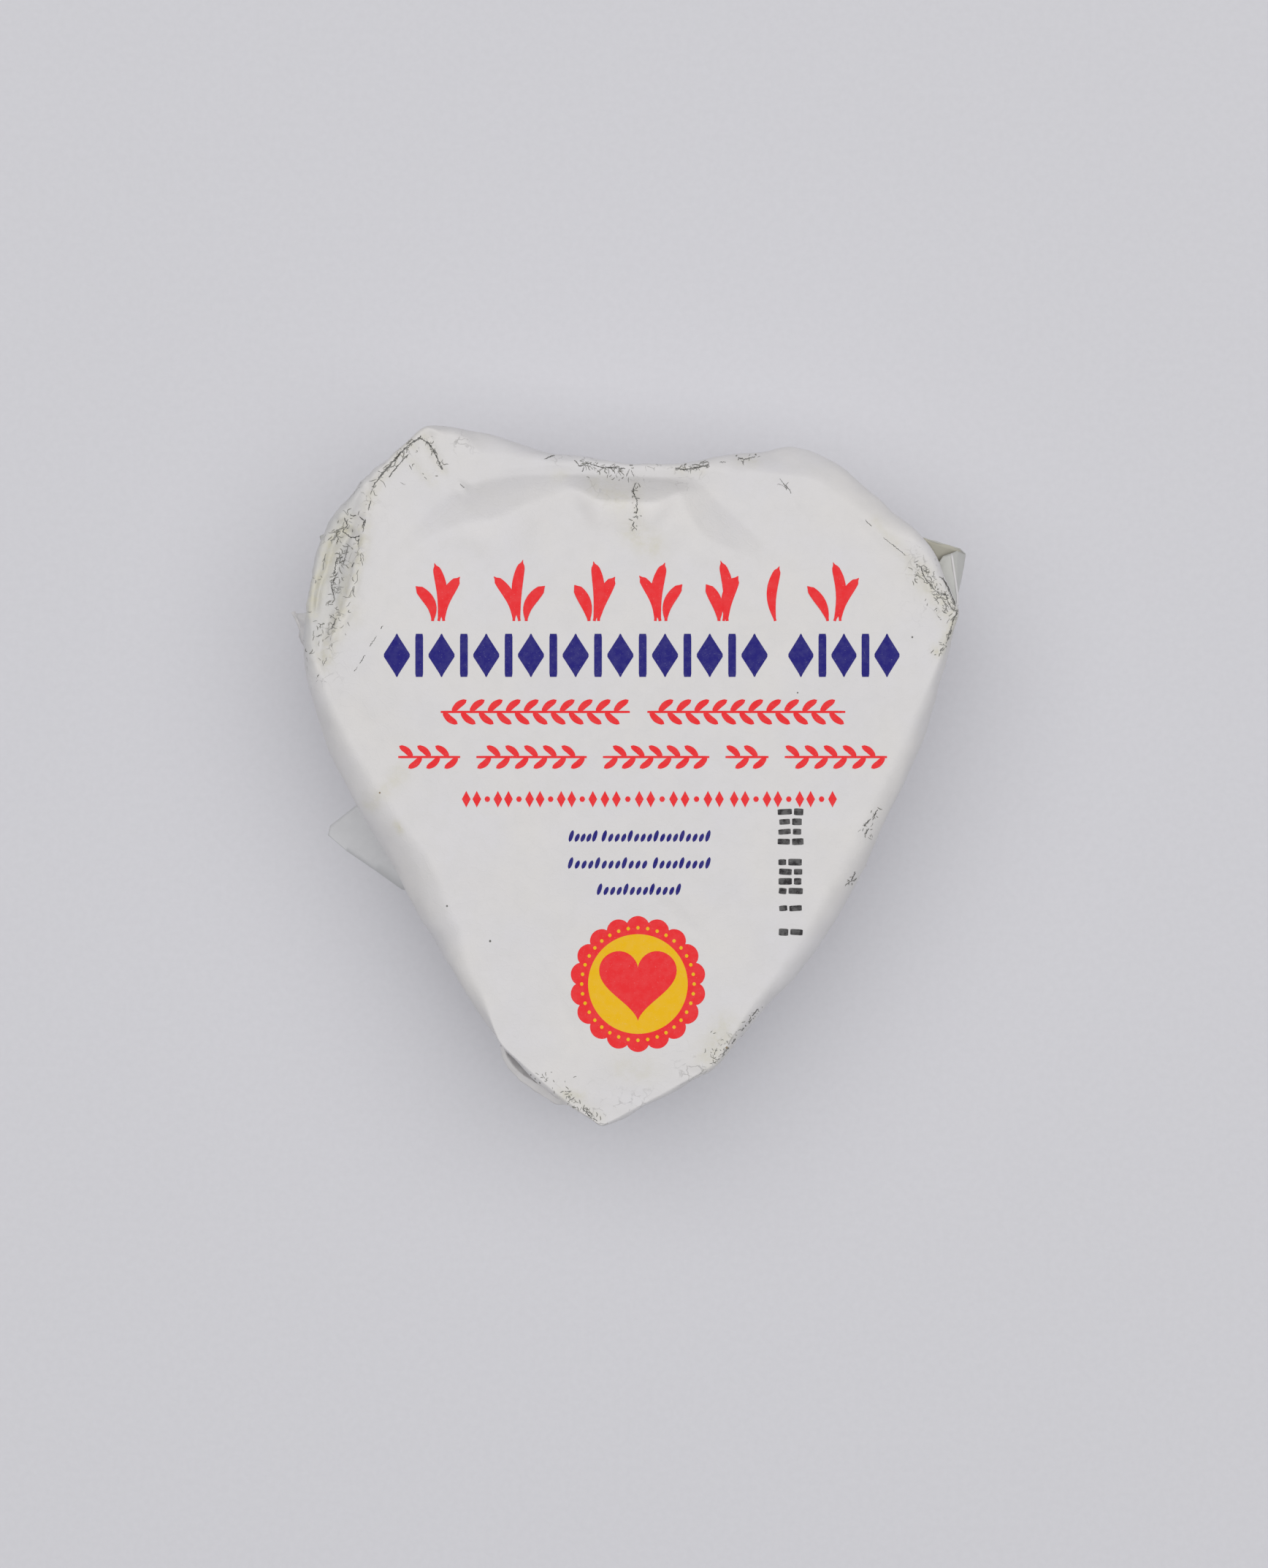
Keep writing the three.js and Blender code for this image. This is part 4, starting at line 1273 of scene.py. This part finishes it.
class CHEESE_OT_right_ear(Operator):
    """Models the pocket of paper that stands off the right corner"""

    bl_idname = "cheese.right_ear"
    bl_label = "Right ear"

    def execute(self, context):
        settings = context.scene.cheese_paper
        thickness = settings.sheet_thickness
        tree = paper_tree()
        # The pocket's lining takes its painted shade.
        finish = paper_finish("waxed_paper_pocket_painted_shade", settings, settings.pocket_painted_shade)
        loops = [(0, 1, 2), (1, 3, 2)]
        sheet_piece("right_ear_lining", all_seen(RIGHT_EAR_LINING), loops, finish, thickness)
        loops = [
            (3, 4, 5, 6, 8), (8, 6, 7, 9), (5, 10, 11, 12, 6), (6, 12, 13, 7),
            (0, 1, 15, 14), (1, 11, 15), (11, 12, 16, 15), (12, 13, 17, 16), (13, 7, 17),
            (15, 16, 19, 18), (16, 17, 20, 19), (18, 19, 21), (19, 20, 21),
        ]
        corners = all_seen(RIGHT_EAR) + [on_wall(tree, *corner) for corner in RIGHT_EAR_FOLD]
        # The ear's painted shade darkens it where it looks up.
        finish = paper_finish("waxed_paper_right_ear_painted_shade", settings, settings.ear_painted_shade)
        sheet_piece("right_ear", corners, loops, finish, thickness)
        sides = (-CREST_HALF_WIDTH, CREST_HALF_WIDTH)
        corners = all_seen((u + side, v, z) for side in sides for u, v, z in RIGHT_EAR_CREST)
        # The crest takes the single sheet's painted shade, lighter than the ear's.
        finish = paper_finish("waxed_paper_crest_painted_shade", settings, settings.single_sheet_painted_shade)
        sheet_piece("right_ear_crest", corners, between_rows(2, len(RIGHT_EAR_CREST)), finish, thickness)
        return {"FINISHED"}


class CHEESE_OT_left_ear(Operator):
    """Models the crushed tip of paper that stands off the left lobe, with its two spurs and two frills"""

    bl_idname = "cheese.left_ear"
    bl_label = "Left ear"

    def execute(self, context):
        settings = context.scene.cheese_paper
        # The left ear and its frills take the single sheet's painted shade.
        finish = paper_finish("waxed_paper_left_ear_painted_shade", settings, settings.single_sheet_painted_shade)
        loops = [(index, index + 1, 8) for index in range(7)]
        loops += [(0, 1, 9), (1, 2, 10, 9), (2, 3, 10), (3, 4, 10), (4, 5, 11, 10), (5, 6, 11), (6, 7, 11)]
        sheet_piece("left_ear", all_seen(LEFT_EAR) + LEFT_EAR_FEET, loops, finish, settings.sheet_thickness)
        # The spurs take the right ear's painted shade.
        spur_finish = paper_finish("waxed_paper_spur_painted_shade", settings, settings.ear_painted_shade)
        for scraps, used in ((SPURS, spur_finish), (FRILLS, finish)):
            for name, corners in scraps.items():
                sheet_piece(name, all_seen(corners), [range(len(corners))], used, settings.sheet_thickness)
        return {"FINISHED"}


class CHEESE_OT_slip(Operator):
    """Models the edge of the sheet that lies on the ground, so thin that the table shows through"""

    bl_idname = "cheese.slip"
    bl_label = "Slip on the ground"

    def execute(self, context):
        settings = context.scene.cheese_paper
        corners = [SLIP_FEET[0], *all_seen(SLIP), SLIP_FEET[1]]
        # The slip's colour carries a painted shadow.
        finish = slip_finish("waxed_paper_slip_painted_shadow", settings)
        thickness = SLIP_THINNESS * settings.sheet_thickness
        sheet_piece("ground_slip", corners, [range(len(corners))], finish, thickness)
        return {"FINISHED"}


class CHEESE_OT_under_layer(Operator):
    """Models the under layer of paper that shows past the top one near the tip"""

    bl_idname = "cheese.under_layer"
    bl_label = "Under layer"

    def execute(self, context):
        settings = context.scene.cheese_paper
        tree = paper_tree()
        corners = [seen_at(u, v, height) for height, row in UNDER_LAYER for u, v in row]
        rim = UNDER_LAYER[-1][1]
        # The lower rows bulge at their middle, and their ends lie inside the wall.
        for height, proud in UNDER_LAYER_ROWS:
            for index, (u, v) in enumerate(rim):
                arch = math.sin(math.pi * index / (len(rim) - 1)) ** 0.5
                lean = UNDER_LAYER_LEAN * (height - LEAN_TOP)
                corners.append(on_wall(tree, u + lean, v, height, proud * (1.6 * arch - 0.6)))
        loops = between_rows(len(UNDER_LAYER) + len(UNDER_LAYER_ROWS), len(rim))
        finish = paper_finish("waxed_paper_under_layer", settings)
        sheet_piece("under_layer", corners, loops, finish, settings.sheet_thickness)
        return {"FINISHED"}


class CHEESE_OT_underside(Operator):
    """Models the ends of the sheet, folded flat under the cheese one over another"""

    bl_idname = "cheese.underside"
    bl_label = "Folded underside"

    def execute(self, context):
        settings = context.scene.cheese_paper
        finish = paper_finish("waxed_paper_underside", settings)
        for name, (height, plan) in FLAPS.items():
            corners = [(x, y, height) for x, y in plan]
            sheet_piece(name, corners, [range(len(corners))], finish, settings.sheet_thickness)
        return {"FINISHED"}


class CHEESE_OT_brush(Operator):
    """Lays the row of big red brush dabs on the paper"""

    bl_idname = "cheese.brush"
    bl_label = "Brush dabs"

    def execute(self, context):
        settings = context.scene.cheese_print
        layer = Layer(paper_tree(), settings.ink_lift / MM)
        draw = np.random.default_rng(TUFTS_SEED)
        shares = np.linspace(0.0, 1.0, 9)
        for index, (middle, width) in enumerate(TUFTS):
            turned = width if index % 2 else -width
            for order, (foot, head, tall) in enumerate(TUFT_DABS if width > NARROW_TUFT else SINGLE_DAB):
                x_foot = middle + turned * foot
                x_head = middle + turned * head + draw.uniform(-0.3, 0.3)
                top = TUFTS_LOW + (TUFTS_HIGH - TUFTS_LOW) * tall * draw.uniform(0.94, 1.0)
                bow = math.copysign(draw.uniform(0.5, 1.1), x_head - x_foot)
                x = x_head + (x_foot - x_head) * shares - bow * np.sin(np.pi * shares)
                line = np.stack([x, top + (TUFTS_LOW - top) * shares], axis=-1)
                layer.stroke(line, draw.uniform(1.65, 2.0), dab, step=0.4, columns=4, lift=1.0 + 0.8 * order)
        layer.finish("print_brush_dabs", ink_finish("ink_red_brush", settings.red))
        return {"FINISHED"}


class CHEESE_OT_border(Operator):
    """Lays the row of big navy lozenges and bars on the paper"""

    bl_idname = "cheese.border"
    bl_label = "Navy border"

    def execute(self, context):
        settings = context.scene.cheese_print
        layer = Layer(paper_tree(), settings.ink_lift / MM)
        for first, last, lozenges in BORDER:
            pitch = (last - first) / (lozenges - LOZENGE_GAP)
            for index in range(2 * lozenges - 1):
                x = first + (LOZENGE_START + 0.5 * index) * pitch
                line = [(x, BORDER_LOW), (x, BORDER_HIGH)]
                if index % 2:
                    layer.stroke(line, BAR_WIDTH, bar, step=0.5, columns=2)
                else:
                    layer.stroke(line, LOZENGE_WIDTH * pitch, diamond, step=0.45, columns=5)
        layer.finish("print_navy_border", ink_finish("ink_navy_border", settings.navy))
        return {"FINISHED"}


def twig(layer, start, end, height, leaf, width):
    """Lays a straight twig, with slanting leaves on both sides that point from its start to its end."""
    way = math.copysign(1.0, end - start)
    length = abs(end - start)
    layer.stroke([(start, height), (end, height)], TWIG_WIDTH, bar, step=0.6, columns=1)
    count = max(2, round(length / LEAF_PITCH) - 1)
    for index in range(count):
        x = start + way * (LEAF_START + index * (length - leaf) / (count - 1))
        side = leaf if index % 2 else -leaf
        bends = [(x + way * leaf * along, height + side * aside) for along, aside in (LEAF_MIDDLE, LEAF_TIP)]
        layer.stroke([(x, height), *bends], width, lens, step=0.32, columns=3, lift=1.2)


class CHEESE_OT_rows(Operator):
    """Lays the rows of small leafy, beaded and slanting marks on the paper, in groups"""

    bl_idname = "cheese.rows"
    bl_label = "Rows of marks"

    def execute(self, context):
        settings = context.scene.cheese_print
        tree = paper_tree()
        lift = settings.ink_lift / MM
        red = ink_finish("ink_red_rows", settings.red)
        for name, (height, leaf, width, twigs) in TWIGS.items():
            layer = Layer(tree, lift)
            for start, end in twigs:
                twig(layer, start, end, height, leaf, width)
            layer.finish(name, red)
        layer = Layer(tree, lift)
        for first, last in CHAIN:
            for index, x in spaced(first, last, CHAIN_PITCH):
                if index % 3 == 2:
                    layer.dot(x, CHAIN_Y, CHAIN_BEAD, step=0.15, columns=4)
                else:
                    layer.stroke([(x, LINK_LOW), (x, LINK_HIGH)], LINK_WIDTH, diamond, step=0.3, columns=3)
        layer.finish("print_red_chain", red)
        layer = Layer(tree, lift)
        for first, last, foot in SEEDS:
            for index, x in spaced(first, last, SEED_PITCH):
                head = foot + (SEED_HEIGHT if index % 4 else TALL_SEED_HEIGHT)
                line = [(x - HALF_SLANT, foot), (x + HALF_SLANT, head)]
                layer.stroke(line, SEED_WIDTH, lens, step=0.25, columns=3)
        layer.finish("print_navy_seeds", ink_finish("ink_navy_rows", settings.navy))
        return {"FINISHED"}


class CHEESE_OT_stamp(Operator):
    """Lays the upright column of black stamped dashes on the paper"""

    bl_idname = "cheese.stamp"
    bl_label = "Black stamp"

    def execute(self, context):
        settings = context.scene.cheese_print
        layer = Layer(paper_tree(), settings.ink_lift / MM)
        draw = np.random.default_rng(STAMP_SEED)
        for first, last, count in STAMP:
            pitch = (last - first) / count
            for index in range(count):
                y = first + (index + 0.5) * pitch
                near = STAMP_LEFT + draw.uniform(-0.15, 0.25)
                far = STAMP_RIGHT + draw.uniform(-0.35, 0.1)
                middle = near + draw.uniform(0.35, 0.65) * (far - near)
                for start, end in ((near, middle - HALF_GAP), (middle + HALF_GAP, far)):
                    thick = abs(pitch) * draw.uniform(0.52, 0.70)
                    tilt = draw.uniform(-0.08, 0.08)
                    layer.stroke([(start, y - tilt), (end, y + tilt)], thick, bar, step=0.3, columns=3)
        layer.finish("print_black_stamp", ink_finish("ink_black_stamp", settings.black, 0.3))
        return {"FINISHED"}


class CHEESE_OT_badge(Operator):
    """Lays the round badge on the paper: a red scalloped edge, a yellow field and a plain red heart"""

    bl_idname = "cheese.badge"
    bl_label = "Round badge"

    def execute(self, context):
        settings = context.scene.cheese_print
        tree = paper_tree()
        lift = settings.ink_lift / MM
        red = ink_finish("ink_red_badge", settings.red)

        def around(angle, radius):
            return BADGE + radius * np.array([math.cos(angle), math.sin(angle)])

        def edge(angle, share):
            bay = SCALLOP_DEPTH * (1.0 - abs(math.sin(0.5 * SCALLOPS * angle)) ** 0.7)
            return around(angle, EDGE_INNER + (BADGE_RADIUS - bay - EDGE_INNER) * share)

        def field(angle, share):
            return around(angle, FIELD_RADIUS * share)

        def heart(angle, share):
            x = 16.0 * math.sin(angle) ** 3
            y = 13 * math.cos(angle) - 5 * math.cos(2 * angle) - 2 * math.cos(3 * angle) - math.cos(4 * angle)
            return BADGE + HEART_SCALE * share * np.array([x, y]) + (0.0, HEART_RISE)

        layer = Layer(tree, lift)
        layer.disc(edge, segments=216, rings=3)
        layer.finish("print_badge_edge", red)
        layer = Layer(tree, lift)
        layer.disc(field, segments=96, rings=8, lift=0.8)
        for index in range(BEADS):
            x, y = around(2.0 * math.pi * index / BEADS, BEADS_RADIUS)
            layer.dot(x, y, BEAD_SIZE, step=0.12, columns=3, lift=1.6)
        layer.finish("print_badge_field", ink_finish("ink_yellow_badge", settings.yellow))
        layer = Layer(tree, lift)
        layer.disc(heart, segments=72, rings=7, lift=1.8)
        layer.finish("print_badge_heart", red)
        return {"FINISHED"}


def crack(layer, draw, open_share, width, line):
    """Lays the stretches of a crack that are broken open, each of them short, ragged and thin at its ends."""
    points, across = walk(line, CRACK_STEP)
    points = points + across * draw.normal(0.0, CRACK_STRAY, len(points))[:, None]
    start = 0
    while start < len(points) - 3:
        stop = min(len(points), start + int(draw.integers(*CRACK_RUN)))
        if stop - start >= 3 and draw.uniform() < open_share:
            shares = np.linspace(0.0, 1.0, stop - start)
            halves = 0.5 * width * draw.uniform(0.45, 1.0) * np.maximum(0.15, lens(shares) ** 0.6)
            halves = halves * draw.uniform(0.45, 1.2, stop - start)
            layer.strip(points[start:stop], across[start:stop], halves)
        start = stop - 3


def scuff(layer, draw, count, stray, length, angle, turn, line):
    """Lays the many fine short cracks of one rubbed place."""
    points, across = walk(line, SCUFF_STEP)
    for index in draw.integers(0, len(points), count):
        place = points[index] + across[index] * draw.normal(0.0, stray)
        heading = math.atan2(across[index][1], across[index][0]) - math.pi / 2
        heading += math.radians(angle * draw.choice((-1.0, 1.0)) + draw.normal(0.0, turn))
        bends = [place]
        for _ in range(draw.integers(*SCUFF_BENDS)):
            heading += math.radians(draw.normal(0.0, SCUFF_ANGLE))
            arm = np.array([math.cos(heading), math.sin(heading)])
            place = place + arm * 0.42 * length * draw.uniform(0.5, 1.3)
            bends.append(place)
        layer.stroke(bends, draw.uniform(0.06, 0.14), lens, step=0.11, columns=1)


class CHEESE_OT_cracks(Operator):
    """Lays the broken dark lines where the wax has cracked, and the few small spots"""

    bl_idname = "cheese.cracks"
    bl_label = "Cracks and spots"

    def execute(self, context):
        settings = context.scene.cheese_paper
        tree = paper_tree()
        draw = np.random.default_rng(CRACKS_SEED)
        layer = Layer(tree, CRACK_LIFT)
        for *values, pixels in CRACKS:
            crack(layer, draw, *values, [from_pixel(*pixel) for pixel in pixels])
        layer.finish("wax_cracks", crack_finish("cracked_wax", settings.crack_colour))
        layer = Layer(tree, SCUFF_LIFT)
        for *values, pixels in SCUFFS:
            scuff(layer, draw, *values, [from_pixel(*pixel) for pixel in pixels])
        layer.finish("wax_scuffs", crack_finish("rubbed_wax", settings.scuff_colour))
        for tone, colour, spots in (("brown", BROWN, BROWN_SPOTS), ("dark", DARK, DARK_SPOTS)):
            layer = Layer(tree, SPOT_LIFT)
            for u, v, size in spots:
                layer.dot(*from_pixel(u, v), size, step=0.06, columns=4)
            layer.finish(f"{tone}_spots", crack_finish(f"spots_{tone}", colour))
        return {"FINISHED"}


class CHEESE_OT_stage(Operator):
    """Makes the floor, the soft light and the camera"""

    bl_idname = "cheese.stage"
    bl_label = "Stage"

    def execute(self, context):
        scene = context.scene
        settings = scene.cheese_stage
        bm = bmesh.new()
        bmesh.ops.create_grid(bm, x_segments=8, y_segments=8, size=settings.floor_size / 2)
        bmesh.ops.translate(bm, vec=(0, 0, -FLOOR_GAP * MM), verts=bm.verts)
        mesh = bpy.data.meshes.new("floor")
        bm.to_mesh(mesh)
        bm.free()
        mesh.materials.append(floor_finish("table_top", settings.floor_colour))
        floor = bpy.data.objects.new("floor", mesh)
        scene.collection.objects.link(floor)

        lamp = bpy.data.lights.new("soft_lamp", "AREA")
        lamp.shape = "RECTANGLE"
        lamp.size = settings.lamp_width
        lamp.size_y = settings.lamp_depth
        lamp.energy = settings.lamp_power
        lamp.color = settings.lamp_colour
        lamp_object = bpy.data.objects.new("soft_lamp", lamp)
        lamp_object.location = (settings.lamp_aside, settings.lamp_shift, settings.lamp_height)
        lamp_object.rotation_euler = Vector(lamp_object.location).to_track_quat("Z", "Y").to_euler()
        scene.collection.objects.link(lamp_object)

        world = bpy.data.worlds.new("even_light")
        world.use_nodes = True
        background = world.node_tree.nodes["Background"]
        background.inputs["Color"].default_value = (*settings.sky_colour, 1.0)
        background.inputs["Strength"].default_value = settings.sky
        scene.world = world

        camera = bpy.data.cameras.new("photo_camera")
        camera.sensor_width = SENSOR
        camera.lens = SENSOR * CAMERA_RISE / (PHOTO_HEIGHT * PIXEL)
        camera.clip_start = 0.01
        camera_object = bpy.data.objects.new("photo_camera", camera)
        camera_object.location = Vector(CAMERA) * MM
        scene.collection.objects.link(camera_object)
        scene.camera = camera_object
        scene.view_settings.view_transform = "Standard"
        scene.view_settings.look = "None"
        return {"FINISHED"}


class CHEESE_PT_panel(Panel):
    """Lists the cheese's pieces in the sidebar"""

    bl_idname = "CHEESE_PT_panel"
    bl_label = "Wrapped heart cheese"
    bl_space_type = "VIEW_3D"
    bl_region_type = "UI"
    bl_category = "Cheese"

    def draw(self, context):
        for group in ("cheese_paper", "cheese_print", "cheese_stage"):
            box = self.layout.box()
            settings = getattr(context.scene, group)
            for name in settings.__annotations__:
                box.prop(settings, name)
        for operator in OPERATORS:
            self.layout.operator(operator.bl_idname)


OPERATORS = (
    CHEESE_OT_wrap,
    CHEESE_OT_right_ear,
    CHEESE_OT_left_ear,
    CHEESE_OT_slip,
    CHEESE_OT_under_layer,
    CHEESE_OT_underside,
    CHEESE_OT_brush,
    CHEESE_OT_border,
    CHEESE_OT_rows,
    CHEESE_OT_stamp,
    CHEESE_OT_badge,
    CHEESE_OT_cracks,
    CHEESE_OT_stage,
)
SETTINGS = {"cheese_paper": PaperSettings, "cheese_print": PrintSettings, "cheese_stage": StageSettings}


def register():
    for group in SETTINGS.values():
        bpy.utils.register_class(group)
    for name, group in SETTINGS.items():
        setattr(bpy.types.Scene, name, PointerProperty(type=group))
    for operator in OPERATORS:
        bpy.utils.register_class(operator)
    bpy.utils.register_class(CHEESE_PT_panel)


def unregister():
    bpy.utils.unregister_class(CHEESE_PT_panel)
    for operator in reversed(OPERATORS):
        bpy.utils.unregister_class(operator)
    for name, group in SETTINGS.items():
        delattr(bpy.types.Scene, name)
        bpy.utils.unregister_class(group)


def main():
    register()
    for operator in OPERATORS:
        group, name = operator.bl_idname.split(".")
        getattr(getattr(bpy.ops, group), name)()


if __name__ == "__main__":
    main()
